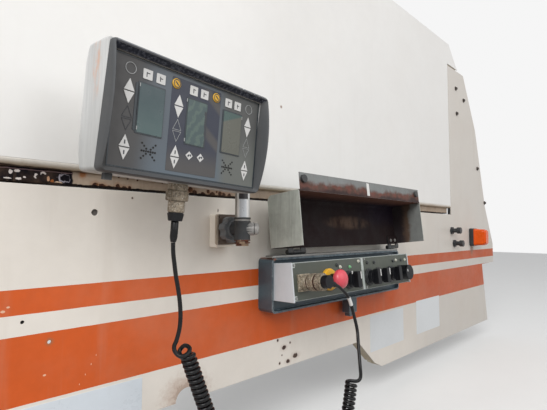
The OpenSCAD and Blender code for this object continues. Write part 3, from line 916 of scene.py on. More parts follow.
def window_paint(n: Nodes, colour: object) -> object:
    """Teal glass at the left, scratched in the middle, olive with a teal corner at the right.

    Args:
        n: the helper.
        colour: the colour so far.

    Returns:
        The new colour.
    """
    x, z = n.axis(X), n.axis(Z)
    colour = n.mix(n.ramp(z, 0.175, 0.115), colour, srgb(72, 94, 94))
    middle = n.between(x, (-0.712, -0.706, -0.646, -0.640))
    slant = n.plus(n.minus(x, n.times(z, 0.7)), n.times(n.noise(70.0, 4.0), 0.03))
    bands = n.ramp(n.math("SINE", n.times(slant, 420.0)), -0.4, 1.0)
    colour = n.mix(middle, colour, n.mix(bands, srgb(66, 84, 84), srgb(82, 100, 94)))
    peel = n.ramp(n.ragged(X, 110.0, 0.009), -0.6625, -0.6615)
    peel = n.times(peel, middle, n.ramp(z, 0.172, 0.168))
    colour = n.mix(peel, colour, srgb(48, 52, 58))
    height = n.minus(z, n.times(x, 0.36))
    olive = n.mix(n.ramp(height, 0.3870, 0.3900), srgb(98, 99, 90), srgb(70, 92, 88))
    return n.mix(n.ramp(x, -0.645, -0.640), colour, olive)


def visor_paint(n: Nodes, colour: object) -> object:
    """Light flecks on the rough inside of the visor."""
    fleck = n.ramp(n.noise(260.0, 5.0), 0.46, 0.66)
    return n.mix(n.times(fleck, 0.7), colour, srgb(112, 116, 128))


def rim_paint(n: Nodes, colour: object) -> object:
    """Bright chips, partly painted glints, towards the right end of the visor's rim.

    Args:
        n: the helper.
        colour: the colour so far.

    Returns:
        The new colour.
    """
    # Bright chips at the right end: real chips and painted glints together.
    chip = n.ramp(n.noise(520.0, 4.0, shift=2.0), 0.58, 0.64)
    right = n.ramp(n.axis(X), -0.630, -0.600)
    return n.mix(n.times(chip, right), colour, srgb(226, 226, 226))


def tube_reflection_paint(n: Nodes, colour: object) -> object:
    """Painted reflections on the tube: upright bands between bright edges, and a dark patch at its
    top.

    Args:
        n: the helper.
        colour: the colour so far.

    Returns:
        The new colour.
    """
    across = n.minus(n.axis(X), n.axis(Y))
    # Painted reflections: a pale band up the middle and a brownish band along one side.
    middle = n.between(across, (-0.3960, -0.3945, -0.3785, -0.3765))
    colour = n.mix(middle, colour, srgb(196, 200, 204))
    side = n.times(n.ramp(across, -0.4005, -0.4030), 0.8)
    colour = n.mix(side, colour, srgb(112, 106, 94))
    # The sleeve mask is a painted dark reflection at the top of the tube, between its bright edges.
    sleeve = n.between(across, (-0.3975, -0.3965, -0.3750, -0.3740))
    sleeve = n.times(sleeve, n.ramp(n.axis(Z), 0.0545, 0.0560))
    return n.mix(sleeve, colour, srgb(44, 42, 44))


def knurl_paint(n: Nodes, colour: object) -> object:
    """Grime and painted shade in dark patches on the connector's metal, and bright specks that are
    partly painted glints.

    Args:
        n: the helper.
        colour: the colour so far.

    Returns:
        The new colour.
    """
    # Dark patches: grime and painted shade together.
    grime_and_shade = n.times(n.ramp(n.noise(300.0, 5.0), 0.45, 0.62), 0.65)
    colour = n.mix(grime_and_shade, colour, srgb(80, 70, 58))
    # Bright specks: real specks and painted glints together.
    light = n.times(n.ramp(n.noise(420.0, 4.0, shift=6.0), 0.56, 0.66), 0.7)
    return n.mix(light, colour, srgb(226, 220, 208))


def grooves_paint(n: Nodes, colour: object) -> object:
    """More grime with painted shade, and bright specks with painted glints, on the socket's metal,
    stronger than on the connector.
    """
    # More dark patches: grime and painted shade together.
    grime_and_shade = n.times(n.ramp(n.noise(240.0, 5.0, shift=3.0), 0.50, 0.62), 0.6)
    return n.mix(grime_and_shade, knurl_paint(n, colour), srgb(78, 68, 58))


class Finishes:
    """Every finish of the object."""

    SHEET = Finish(
        "cream paint with bands", (230, 224, 215), 0.42, coat=0.06, mottle=0.07, mottle_scale=5.0,
        grain=0.05, grain_scale=420.0, dirt=0.14, dirt_colour=(186, 170, 152), dirt_scale=5.0,
        wear=0.5, wear_colour=(120, 88, 62), wear_width=0.0012, specular=0.28,
        paint=spots_paint(SHEET_SPOTS, stripes_paint),
    )
    COVER = Finish(
        "cream paint of the cover", (232, 231, 228), 0.40, coat=0.15, mottle=0.05,
        mottle_scale=4.0, grain=0.05, grain_scale=420.0, dirt=0.08, dirt_colour=(196, 186, 174),
        dirt_scale=4.0, wear=0.4, wear_colour=(130, 104, 80), wear_width=0.0012, specular=0.4,
        paint=spots_paint(COVER_SPOTS),
    )
    LIP = Finish(
        "rolled lip paint", (226, 221, 212), 0.5, mottle=0.14, mottle_scale=16.0, grain=0.08,
        dirt=0.25, dirt_colour=(170, 148, 122), dirt_scale=12.0, paint=roll_paint,
    )
    EDGE = Finish(
        "cream paint on turned edges", (214, 204, 180), 0.5, mottle=0.2, mottle_scale=16.0,
        grain=0.08, dirt=0.35, dirt_colour=(138, 112, 84), dirt_scale=12.0, wear=0.7,
        wear_colour=(92, 60, 42), wear_width=0.002, rust=0.1, rust_scale=22.0,
    )
    RECESS = Finish(
        "dirty recess paint", (166, 150, 134), 0.7, mottle=0.25, mottle_scale=20.0, grain=0.3,
        dirt=0.45, dirt_colour=(116, 94, 78), dirt_scale=22.0, specular=0.1, paint=peel_paint,
    )
    FRAME = Finish(
        "dark chassis paint", (62, 64, 68), 0.55, mottle=0.25, grain=0.15, dirt=0.35,
        dirt_colour=(122, 110, 96), wear=0.7, wear_colour=(116, 84, 62), rust=0.12,
    )
    BLACK_PAINT = Finish(
        "satin black paint", (34, 35, 37), 0.5, mottle=0.3, dirt=0.25, wear=0.6,
        wear_colour=(112, 108, 104),
    )
    BLACK_PLASTIC = Finish(
        "grained black plastic", (33, 35, 38), 0.48, mottle=0.3, grain=0.35, grain_scale=1400.0,
        dirt=0.28, dirt_colour=(110, 104, 96), wear=0.3, wear_colour=(86, 88, 90),
    )
    WHEEL = Finish(
        "dusty wheel plastic", (104, 107, 110), 0.6, mottle=0.35, grain=0.35, grain_scale=1100.0,
        dirt=0.4, dirt_colour=(140, 138, 134), wear=0.5, wear_colour=(156, 158, 160),
    )
    CHROME = Finish(
        "bright tube", (230, 230, 228), 0.32, 0.3, mottle=0.08, grain=0.03, dirt=0.12,
        dirt_colour=(120, 112, 98), paint=tube_reflection_paint,
    )
    ZINC = Finish(
        "dull zinc plate", (150, 150, 148), 0.36, 1.0, mottle=0.3, mottle_scale=60.0, grain=0.15,
        dirt=0.35, dirt_colour=(104, 98, 90),
    )
    RUSTY = Finish(
        "rusted steel", (140, 118, 96), 0.6, 0.3, mottle=0.4, mottle_scale=80.0, grain=0.5,
        rust=0.6, rust_scale=90.0, dirt=0.3,
    )
    LUMP = Finish(
        "dark cast lump", (54, 56, 58), 0.55, mottle=0.4, mottle_scale=60.0, grain=0.4, dirt=0.3,
        dirt_colour=(84, 80, 76), dirt_scale=50.0, wear=0.6, wear_colour=(130, 130, 128),
        specular=0.3,
    )
    LAMP_DARK = Finish("dark lamp cap", (34, 38, 40), 0.3, coat=0.3, mottle=0.2)
    LAMP_GREEN = Finish("green lamp cap", (110, 170, 120), 0.3, coat=0.3, mottle=0.2)
    LENS = Finish(
        "orange lamp lens", (222, 84, 2), 0.3, coat=0.15, mottle=0.12, mottle_scale=30.0,
        grain=0.03, dirt=0.05, dirt_colour=(180, 100, 40), specular=0.3,
    )
    SLATE = Finish(
        "blue-green grey paint", (64, 80, 90), 0.45, coat=0.1, mottle=0.34, mottle_scale=16.0,
        grain=0.15, dirt=0.28, dirt_colour=(108, 116, 118), wear=0.9, wear_colour=(156, 164, 166),
        wear_width=0.0032, rust=0.12, rust_scale=30.0, paint=spots_paint(TRAY_SPOTS),
    )
    LID_OUT = Finish(
        "grey-green lid paint", (164, 168, 160), 0.5, mottle=0.34, mottle_scale=12.0, grain=0.12,
        dirt=0.42, dirt_colour=(98, 100, 92), dirt_scale=14.0, wear=0.7,
        wear_colour=(206, 206, 200), wear_width=0.0018, paint=streak_paint,
    )
    LID_IN = Finish(
        "rusted lid inside", (24, 13, 14), 0.75, mottle=0.4, mottle_scale=22.0, grain=0.4,
        grain_scale=500.0, dirt=0.30, dirt_colour=(40, 24, 22), dirt_scale=10.0, wear=0.2,
        wear_colour=(96, 74, 62), specular=0.2, paint=inside_paint,
    )
    LID_LIP = Finish(
        "grey lip with rust", (126, 129, 128), 0.6, mottle=0.3, mottle_scale=24.0, grain=0.3,
        dirt=0.30, dirt_colour=(96, 82, 78), dirt_scale=20.0, wear=0.5, wear_colour=(96, 56, 50),
        wear_width=0.0015, specular=0.3, paint=lip_paint,
    )
    LID_CHEEK = Finish(
        "right cheek inside", (120, 122, 119), 0.6, mottle=0.3, mottle_scale=24.0, grain=0.3,
        dirt=0.3, dirt_colour=(78, 74, 72), dirt_scale=16.0, paint=cheek_paint,
    )
    # Darker copy of the surround for the visor's underside: painted shade, with real dust and
    # flecks.
    VISOR_SHADE = Finish(
        "dusty inside of the visor in painted shade", (24, 27, 38), 0.6, mottle=0.4, mottle_scale=60.0, grain=0.5,
        grain_scale=500.0, dirt=0.3, dirt_colour=(84, 86, 94), dirt_scale=120.0, wear=0.4,
        wear_colour=(120, 122, 128), wear_width=0.002, specular=0.2, paint=visor_paint,
    )
    # Lighter copy of the surround for the rim's top: a painted highlight.
    RIM_HIGHLIGHT = Finish(
        "visor rim with painted highlight", (112, 115, 120), 0.5, mottle=0.2, mottle_scale=40.0, grain=0.3,
        grain_scale=900.0, dirt=0.2, dirt_colour=(90, 88, 86), wear=0.4,
        wear_colour=(150, 152, 156), paint=rim_paint,
    )
    CLAMP_CREAM = Finish(
        "cream clamp block", (250, 242, 230), 0.5, mottle=0.06, mottle_scale=40.0, grain=0.08,
        dirt=0.10, dirt_colour=(190, 164, 142), dirt_scale=30.0, wear=0.4,
        wear_colour=(120, 86, 66),
    )
    CLAMP_FLANGE = Finish(
        "brown-grey flange", (92, 80, 72), 0.6, mottle=0.3, mottle_scale=40.0, grain=0.2, dirt=0.4,
        dirt_colour=(134, 112, 96), wear=0.7, wear_colour=(150, 134, 120), rust=0.25,
        rust_scale=60.0, paint=flange_paint,
    )
    STUB = Finish(
        "bright turned stub", (156, 154, 151), 0.42, 0.4, mottle=0.2, mottle_scale=80.0,
        grain=0.15, dirt=0.35, dirt_colour=(100, 94, 88), dirt_scale=60.0,
    )
    SOCKET = Finish(
        "beige socket metal", (168, 156, 136), 0.5, 0.25, mottle=0.4, mottle_scale=90.0, grain=0.5,
        grain_scale=900.0, dirt=0.4, dirt_colour=(98, 86, 72), dirt_scale=70.0,
        paint=grooves_paint,
    )
    TRIM = Finish(
        "pale metal trim", (186, 194, 190), 0.4, 0.2, mottle=0.2, mottle_scale=60.0, dirt=0.4,
        dirt_colour=(110, 108, 98), dirt_scale=60.0,
    )
    PRINT_FAINT = Finish("faint key print", (160, 162, 162), 0.5, mottle=0.05, grain=0.05)
    CAST = Finish(
        "silver-grey cast housing", (206, 207, 206), 0.42, mottle=0.06, mottle_scale=20.0,
        grain=0.18, grain_scale=1500.0, dirt=0.14, dirt_colour=(150, 146, 138), wear=0.35,
        wear_colour=(226, 226, 222), paint=cast_paint,
    )
    BOX_END = Finish(
        "silver end plate", (198, 203, 207), 0.45, mottle=0.08, mottle_scale=12.0, grain=0.4,
        grain_scale=1600.0, dirt=0.1, dirt_colour=(150, 152, 152), wear=0.5,
        wear_colour=(226, 228, 228), specular=0.3,
    )
    BEZEL = Finish(
        "dark grey surround", (71, 73, 75), 0.6, mottle=0.16, grain=0.4, grain_scale=1500.0,
        dirt=0.2, dirt_colour=(98, 94, 88), wear=0.35, wear_colour=(112, 114, 118),
        wear_width=0.002, specular=0.35,
    )
    FILM = Finish(
        "grey face film", (92, 100, 108), 0.42, mottle=0.08, mottle_scale=10.0, grain=0.04,
        grain_scale=1800.0, specular=0.4, paint=film_paint,
    )
    FILM_DARK = Finish(
        "dark centre film", (46, 50, 64), 0.42, mottle=0.12, mottle_scale=12.0, grain=0.04,
        paint=centre_paint,
    )
    WINDOW = Finish(
        "grey-green window", (50, 70, 74), 0.28, mottle=0.10, mottle_scale=12.0, grain=0.02,
        paint=window_paint,
    )
    WINDOW_EDGE = Finish("dark window edge", (42, 50, 56), 0.35, mottle=0.1)
    PRINT = Finish("pale key print", (214, 214, 212), 0.5, mottle=0.06, grain=0.05)
    PRINT_DARK = Finish("dark key print", (52, 54, 60), 0.45, mottle=0.05, grain=0.05)
    YELLOW = Finish(
        "yellow plastic", (222, 172, 44), 0.42, mottle=0.12, dirt=0.2, dirt_colour=(120, 96, 50),
        grain=0.1,
    )
    RED = Finish(
        "faded red plastic", (212, 72, 86), 0.42, coat=0.2, mottle=0.12, mottle_scale=40.0,
        dirt=0.16, dirt_colour=(170, 116, 112), grain=0.12,
    )
    OLIVE = Finish(
        "dark olive face", (72, 77, 69), 0.5, mottle=0.16, mottle_scale=16.0, grain=0.2, dirt=0.22,
        dirt_colour=(106, 106, 94), wear=0.5, wear_colour=(140, 144, 138),
    )
    BLACK_KNOB = Finish(
        "black knob plastic", (12, 13, 17), 0.42, mottle=0.2, grain=0.1, dirt=0.06,
        dirt_colour=(70, 72, 74), specular=0.25,
    )
    CORD = Finish(
        "black cord sheath", (14, 14, 16), 0.3, mottle=0.25, mottle_scale=40.0, grain=0.12,
        dirt=0.06, dirt_colour=(80, 76, 70), dirt_scale=30.0, specular=0.25,
    )
    CONNECTOR = Finish(
        "dusty connector metal", (156, 144, 126), 0.6, 0.3, mottle=0.4, mottle_scale=90.0,
        grain=0.8, grain_scale=700.0, dirt=0.3, dirt_colour=(132, 116, 96), dirt_scale=60.0,
        paint=knurl_paint,
    )
    BLUISH_FILM = Finish(
        "bluish blank film", (214, 222, 229), 0.35, mottle=0.05, mottle_scale=14.0, grain=0.06,
        grain_scale=300.0, coat=0.2, dirt=0.1, dirt_colour=(190, 190, 188),
    )
    LABEL = Finish("blank label film", (220, 224, 226), 0.4, mottle=0.06, grain=0.04)
    LAMP_WHITE = Finish("clear lamp cap", (190, 190, 176), 0.25, coat=0.5, mottle=0.2)
    BOLT = Finish(
        "dark bolt steel", (78, 72, 68), 0.55, 0.6, mottle=0.4, mottle_scale=90.0, grain=0.3,
        rust=0.35, rust_scale=70.0,
    )
    HOLE = Finish("dark hole", (18, 16, 16), 0.8, mottle=0.2)
    HOLE_BROWN = Finish("brown hole", (66, 40, 28), 0.8, mottle=0.4, mottle_scale=90.0)


def linked(name: str, data: bpy.types.ID) -> Piece:
    """Put an object into the scene.

    Args:
        name: its name.
        data: its data.

    Returns:
        The object.
    """
    made = bpy.data.objects.new(name, data)
    bpy.context.scene.collection.objects.link(made)
    return made


class Shapes:
    """Mesh helpers that work in millimetres in a local frame."""

    @staticmethod
    def piece(name: str, bm: Mesh, finish: Finish, smooth: float = 32.0) -> Piece:
        """Turn a bmesh in metres into a piece.

        Args:
            name: the piece's name.
            bm: the bmesh, which is freed.
            finish: its finish.
            smooth: shading is smooth below this angle.

        Returns:
            The piece.
        """
        mesh = bpy.data.meshes.new(name)
        bm.to_mesh(mesh)
        bm.free()
        return Shapes.dressed(linked(name, mesh), finish, smooth)

    @staticmethod
    def dressed(piece: Piece, finish: Finish, smooth: float = 32.0) -> Piece:
        """Give a piece its finish and its smooth shading.

        Args:
            piece: the piece.
            finish: its finish.
            smooth: shading is smooth below this angle.

        Returns:
            The same piece.
        """
        piece.data.materials.clear()
        piece.data.materials.append(make_material(finish))
        piece.data.shade_smooth()
        piece.data.set_sharp_from_angle(angle=math.radians(smooth))
        return piece

    @staticmethod
    def finished(piece: Piece) -> Piece:
        """Apply a piece's modifiers to its mesh.

        Args:
            piece: the piece.

        Returns:
            The same piece.
        """
        bpy.context.view_layer.update()
        graph = bpy.context.evaluated_depsgraph_get()
        mesh = bpy.data.meshes.new_from_object(piece.evaluated_get(graph))
        old = piece.data
        piece.modifiers.clear()
        piece.data = mesh
        bpy.data.meshes.remove(old)
        mesh.name = piece.name
        return piece

    @staticmethod
    def bevelled(piece: Piece, width: float, segments: int = 2, angle: float = 30.0) -> Piece:
        """Round the sharp edges of a piece.

        Args:
            piece: the piece.
            width: how far, in millimetres.
            segments: faces across a rounded edge.
            angle: edges sharper than this are rounded.

        Returns:
            The same piece.
        """
        modifier = piece.modifiers.new("round", "BEVEL")
        modifier.width = width * MM
        modifier.segments = segments
        modifier.limit_method = "ANGLE"
        modifier.angle_limit = math.radians(angle)
        modifier.use_clamp_overlap = True
        return Shapes.finished(piece)

    @staticmethod
    def prism(bm: Mesh, outline: Outline, y0: float, y1: float, place: Matrix) -> None:
        """Add a closed prism.

        Args:
            bm: the mesh to add to.
            outline: its (x, z) points.
            y0: where it starts on the local Y axis.
            y1: where it ends.
            place: matrix of the local frame.
        """
        low, high = (
            [bm.verts.new(place @ Vector((x, y, z))) for x, z in outline] for y in (y0, y1)
        )
        sides = list(zip(low, high))
        made = [bm.faces.new(low[::-1]), bm.faces.new(high)]
        made += [bm.faces.new((a, c, d, b)) for (a, b), (c, d) in zip(sides, sides[1:] + sides[:1])]
        bmesh.ops.recalc_face_normals(bm, faces=made)

    @staticmethod
    def rounded(
        w: float, h: float, r: float, steps: int = 6, at: tuple = (0.0, 0.0)
    ) -> list[tuple]:
        """Outline of a rounded rectangle.

        Args:
            w: its width.
            h: its height.
            r: the radius of its corners.
            steps: lines round each corner.
            at: its middle.

        Returns:
            Its (x, z) points.
        """
        points = []
        for k, (sx, sz) in enumerate(((1, 1), (-1, 1), (-1, -1), (1, -1))):
            cx, cz = at[0] + sx * (w / 2 - r), at[1] + sz * (h / 2 - r)
            for s in range(steps + 1):
                a = math.radians(90 * k + 90 * s / steps)
                points.append((cx + r * math.cos(a), cz + r * math.sin(a)))
        return points

    @staticmethod
    def lathe(bm: Mesh, profile: Sequence[tuple], place: Matrix, sides: int = 32) -> None:
        """Turn a profile round the local Y axis, towards -Y.

        Args:
            bm: the mesh to add to.
            profile: (radius, height) points that start and end on the axis, or a closed loop
                off the axis.
            place: matrix of the local frame.
            sides: steps round the axis.
        """
        rings: list[list] = []
        for r, h in profile:
            turns = [2 * math.pi * k / sides for k in range(sides)] if r > 0 else [0.0]
            rings.append(
                [
                    bm.verts.new(place @ Vector((r * math.cos(a), -h, r * math.sin(a))))
                    for a in turns
                ]
            )
        if profile[0][0] > 0:
            rings.append(rings[0])
        made = []
        for a, b in zip(rings, rings[1:]):
            for k in range(sides):
                j = (k + 1) % sides
                if len(a) == 1:
                    made.append(bm.faces.new((a[0], b[j], b[k])))
                elif len(b) == 1:
                    made.append(bm.faces.new((a[k], a[j], b[0])))
                else:
                    made.append(bm.faces.new((a[k], a[j], b[j], b[k])))
        bmesh.ops.recalc_face_normals(bm, faces=made)

    @staticmethod
    def part_finish(
        piece: Piece, finish: Finish, local: Matrix, test: Callable
    ) -> None:
        """Give the faces of a piece that pass a test their own finish.

        Args:
            piece: the piece.
            finish: the finish of those faces.
            local: matrix of the local frame.
            test: called with a face's centre in millimetres and its normal, both local.
        """
        mesh = piece.data
        mesh.materials.append(make_material(finish))
        number = len(mesh.materials) - 1
        back = local.inverted()
        turn = back.to_3x3()
        for face in mesh.polygons:
            if test(back @ face.center, (turn @ face.normal).normalized()):
                face.material_index = number

    @staticmethod
    def tube(points: np.ndarray, radius: float, sides: int, name: str) -> Piece:
        """Sweep a closed round tube along points in metres.

        Args:
            points: the centreline.
            radius: the tube's radius in metres.
            sides: faces round it.
            name: the object's name.

        Returns:
            The object, not yet dressed.
        """
        tangents = np.gradient(points, axis=0)
        tangents /= np.linalg.norm(tangents, axis=1)[:, None]
        up = np.cross(tangents[0], (0.3, 1.0, 0.2))
        up /= np.linalg.norm(up)
        verts = []
        for centre, t in zip(points, tangents):
            up = up - t * up.dot(t)
            up /= np.linalg.norm(up)
            side = np.cross(t, up)
            for k in range(sides):
                a = 2 * math.pi * k / sides
                verts.append(centre + radius * (math.cos(a) * up + math.sin(a) * side))
        faces = []
        for i in range(len(points) - 1):
            for k in range(sides):
                j = (k + 1) % sides
                faces.append(
                    (i * sides + k, i * sides + j, (i + 1) * sides + j, (i + 1) * sides + k)
                )
        last = (len(points) - 1) * sides
        faces.append(tuple(range(sides - 1, -1, -1)))
        faces.append(tuple(last + k for k in range(sides)))
        mesh = bpy.data.meshes.new(name)
        mesh.from_pydata([tuple(v) for v in verts], [], faces)
        return linked(name, mesh)


# Points nearer than this many metres are one, and faces within this many degrees are flat
WELD, FLAT = 2e-6, 0.6


def refined(
    node: str, finish: Finish, width: float = 1.0, segments: int = 2, smooth: float = 32.0
) -> Piece:
    """Copy a CAD node, weld it, round its edges and let the copy stand for it.

    Args:
        node: the CAD node's name.
        finish: the finish of the new piece.
        width: how far the edges are rounded, in millimetres.
        segments: faces across a rounded edge.
        smooth: shading is smooth below this angle.

    Returns:
        The new piece.
    """
    bm = bmesh.new()
    bm.from_mesh(bpy.data.objects[node].data)
    bmesh.ops.remove_doubles(bm, verts=bm.verts, dist=WELD)
    bmesh.ops.dissolve_limit(
        bm, angle_limit=math.radians(FLAT), verts=bm.verts, edges=bm.edges, delimit=set()
    )
    mesh = bpy.data.meshes.new(f"{node}_dressed")
    bm.to_mesh(mesh)
    bm.free()
    piece = linked(mesh.name, mesh)
    if width > 0.0:
        Shapes.bevelled(piece, width, segments)
    Shapes.dressed(piece, finish, smooth)
    if width > 0.0:
        level = piece.modifiers.new("even shading", "WEIGHTED_NORMAL")
        level.keep_sharp = True
        Shapes.finished(piece)
    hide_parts(node)
    return piece


def ride(piece: Piece, body: Body) -> Piece:
    """Let a piece move with a body.

    Args:
        piece: the piece.
        body: the body.

    Returns:
        The same piece.
    """
    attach(piece, body.value)
    return piece


def dress(rows: Iterable[tuple], body: Body) -> dict[str, Piece]:
    """Refine CAD nodes and let them ride on a body.

    Args:
        rows: node, finish, edge width in millimetres, slot, and faces across an edge if not 2.
        body: the body.

    Returns:
        The new pieces, by the node that each stands for.
    """
    made = {}
    for node, finish, width, slot, *segments in rows:
        made[node] = ride(refined(node, finish, width, *segments), body)
    return made


def on_points(n: Nodes, i: Sockets, shape: Socket) -> dict:
    """Put a turned and dressed copy of a shape on each point.

    Args:
        n: the helper.
        i: the group's inputs.
        shape: the shape.

    Returns:
        Its outputs by name.
    """
    points = n.add("GeometryNodeMeshToPoints", Mesh=i["Geometry"])
    placed = n.add(
        "GeometryNodeInstanceOnPoints", Points=points.outputs[0], Instance=shape,
        Rotation=i["Turn"],
    )
    real = n.add("GeometryNodeRealizeInstances", Geometry=placed.outputs[0])
    dressed = n.add(
        "GeometryNodeSetMaterial", Geometry=real.outputs[0], Material=i["Material"]
    )
    return {"Geometry": dressed.outputs[0]}


@node_group(
    "Screws on points",
    {
        "Geometry": (GEOMETRY, None), "Head radius": (FLOAT, 0.004), "Head height": (FLOAT, 0.002),
        "Washer radius": (FLOAT, 0.006), "Washer height": (FLOAT, 0.001), "Sides": (INT, 6),
        "Turn": (TURN, None), "Material": (MATERIAL, None),
    },
    {"Geometry": GEOMETRY},
    "GeometryNodeTree",
)
def screw_tree(n: Nodes, i: Sockets) -> dict:
    """Put a washer and a head on each point, with its axis along the turn.

    Args:
        n: the helper.
        i: the group's inputs.

    Returns:
        Its outputs by name.
    """
    join = n.add("GeometryNodeJoinGeometry")
    washer, head = i["Washer height"], i["Head height"]
    for radius, height, sides, rise in (
        (i["Washer radius"], washer, 24, n.times(washer, 0.5)),
        (i["Head radius"], head, i["Sides"], n.plus(washer, n.times(head, 0.5))),
    ):
        disc = n.add("GeometryNodeMeshCylinder", Vertices=sides, Radius=radius, Depth=height)
        lift = n.add("ShaderNodeCombineXYZ", Z=rise).outputs[0]
        moved = n.add("GeometryNodeTransform", Geometry=disc.outputs["Mesh"], Translation=lift)
        n.plug(join, 0, moved.outputs[0])
    return on_points(n, i, join.outputs[0])


@node_group(
    "Ribs in a ring",
    {
        "Geometry": (GEOMETRY, None), "Count": (INT, 24), "Ring radius": (FLOAT, 0.012),
        "Rib width": (FLOAT, 0.002), "Rib length": (FLOAT, 0.01), "Turn": (TURN, None),
        "Material": (MATERIAL, None),
    },
    {"Geometry": GEOMETRY},
    "GeometryNodeTree",
)
def rib_tree(n: Nodes, i: Sockets) -> dict:
    """Set ribs in a ring round each point, about the turned Z axis.

    Args:
        n: the helper.
        i: the group's inputs.

    Returns:
        Its outputs by name.
    """
    circle = n.add("GeometryNodeMeshCircle", Vertices=i["Count"], Radius=i["Ring radius"])
    wide = i["Rib width"]
    size = n.add("ShaderNodeCombineXYZ", X=wide, Y=wide, Z=i["Rib length"])
    rib = n.add("GeometryNodeMeshCube", Size=size.outputs[0])
    where = n.add("GeometryNodeInputPosition").outputs[0]
    facing = n.add("FunctionNodeAlignRotationToVector", {"axis": "X"}, Vector=where)
    ribs = n.add(
        "GeometryNodeInstanceOnPoints", Points=circle.outputs[0], Instance=rib.outputs["Mesh"],
        Rotation=facing.outputs[0],
    )
    return on_points(n, i, ribs.outputs[0])


class Fasteners:
    """What repeats: screws, dots and ribs, placed by Geometry Nodes."""

    @staticmethod
    def place(
        name: str,
        tree: Tree,
        points: Sequence[tuple],
        local: Matrix,
        finish: Finish,
        turn: Optional[Matrix] = None,
        **values: object,
    ) -> Piece:
        """Run a tree on points and keep the result as a plain mesh.

        Args:
            name: the piece's name.
            tree: the geometry tree.
            points: places in the local frame, in millimetres.
            local: matrix of the local frame.
            finish: the finish.
            turn: rotation of each copy inside the local frame; its Z axis is the copy's own.
            values: tree inputs by name, with "_" for a space.

        Returns:
            The piece.
        """
        mesh = bpy.data.meshes.new(name)
        mesh.from_pydata([tuple(local @ Vector(p)) for p in points], [], [])
        piece = linked(name, mesh)
        modifier = piece.modifiers.new("copies", "NODES")
        modifier.node_group = tree
        whole = local.to_quaternion().to_matrix().to_4x4() @ (turn or turned(90, "X"))
        settings = {"Turn": whole.to_euler(), "Material": make_material(finish)}
        settings.update({k.replace("_", " "): v for k, v in values.items()})
        for item in tree.interface.items_tree:
            if item.item_type == "SOCKET" and item.in_out == "INPUT" and item.name in settings:
                modifier[item.identifier] = settings[item.name]
        Shapes.finished(piece)
        return Shapes.dressed(piece, finish, 40.0)


@dataclass
class Studio:
    """Camera, lamps, floor and world, in metres, watts and degrees."""

    eye: Point = (-1.000, -0.690, 0.0)
    yaw: float = 44.96
    pitch: float = 3.58
    roll: float = 0.12
    focal: float = 410.0
    frame_width: float = 547.0
    sensor: float = 36.0
    floor_z: float = -0.462
    floor_half: float = 9.0
    soft: tuple = ((0.97, 0.975, 1.0), 0.60)
    pale: tuple = ((1.0, 1.0, 1.0), 0.92)
    lamps: tuple = (
        ("key", (-2.8, -1.7, 2.1), (-0.4, 0.0, 0.1), 2.0, 98.0),
        ("fill", (0.6, -3.2, 1.6), (-0.1, 0.0, 0.0), 2.6, 34.0),
    )

    def camera(self) -> None:
        """Set the camera where the photograph was taken."""
        data = bpy.data.cameras.new("camera")
        data.sensor_width = self.sensor
        data.lens = self.focal * self.sensor / self.frame_width
        data.clip_start = 0.01
        camera = linked("camera", data)
        turn = turned(-self.yaw, "Z") @ turned(90.0 + self.pitch, "X") @ turned(self.roll, "Z")
        camera.matrix_world = Matrix.Translation(self.eye) @ turn
        bpy.context.scene.camera = camera

    def world(self) -> None:
        """Make a world that looks pale and lights softly."""
        world = bpy.data.worlds.new("world")
        bpy.context.scene.world = world
        world.use_nodes = True
        world.node_tree.nodes.clear()
        n = Nodes(world.node_tree)
        mixed = n.add("ShaderNodeMixShader", Fac=n.seen())
        for key, (colour, strength) in enumerate((self.soft, self.pale), 1):
            sky = n.add("ShaderNodeBackground", Color=colour, Strength=strength)
            n.plug(mixed, key, sky.outputs[0])
        n.add("ShaderNodeOutputWorld", Surface=mixed.outputs[0])

    def light(self) -> None:
        """Add the soft lamps."""
        for name, place, aim, size, power in self.lamps:
            data = bpy.data.lights.new(name, "AREA")
            data.energy = power
            data.size = size
            way = (Vector(aim) - Vector(place)).to_track_quat("-Z", "Y").to_matrix().to_4x4()
            linked(name, data).matrix_world = Matrix.Translation(place) @ way

    @staticmethod
    def floor_paint(n: Nodes, colour: object) -> object:
        """Keep the floor pale to the camera and let it throw back less light."""
        return n.mix(n.seen(), srgb(118, 110, 102), colour)

    def floor(self) -> None:
        """Lay the plain pale floor."""
        mesh = bpy.data.meshes.new("floor")
        corners = [
            (x * self.floor_half, y * self.floor_half, self.floor_z)
            for x, y in ((-1, -1), (1, -1), (1, 1), (-1, 1))
        ]
        mesh.from_pydata(corners, [], [(0, 1, 2, 3)])
        pale = Finish(
            "pale floor", (232, 232, 230), 0.9, mottle=0.02, grain=0.0, paint=self.floor_paint
        )
        mesh.materials.append(make_material(pale))
        linked("floor", mesh)


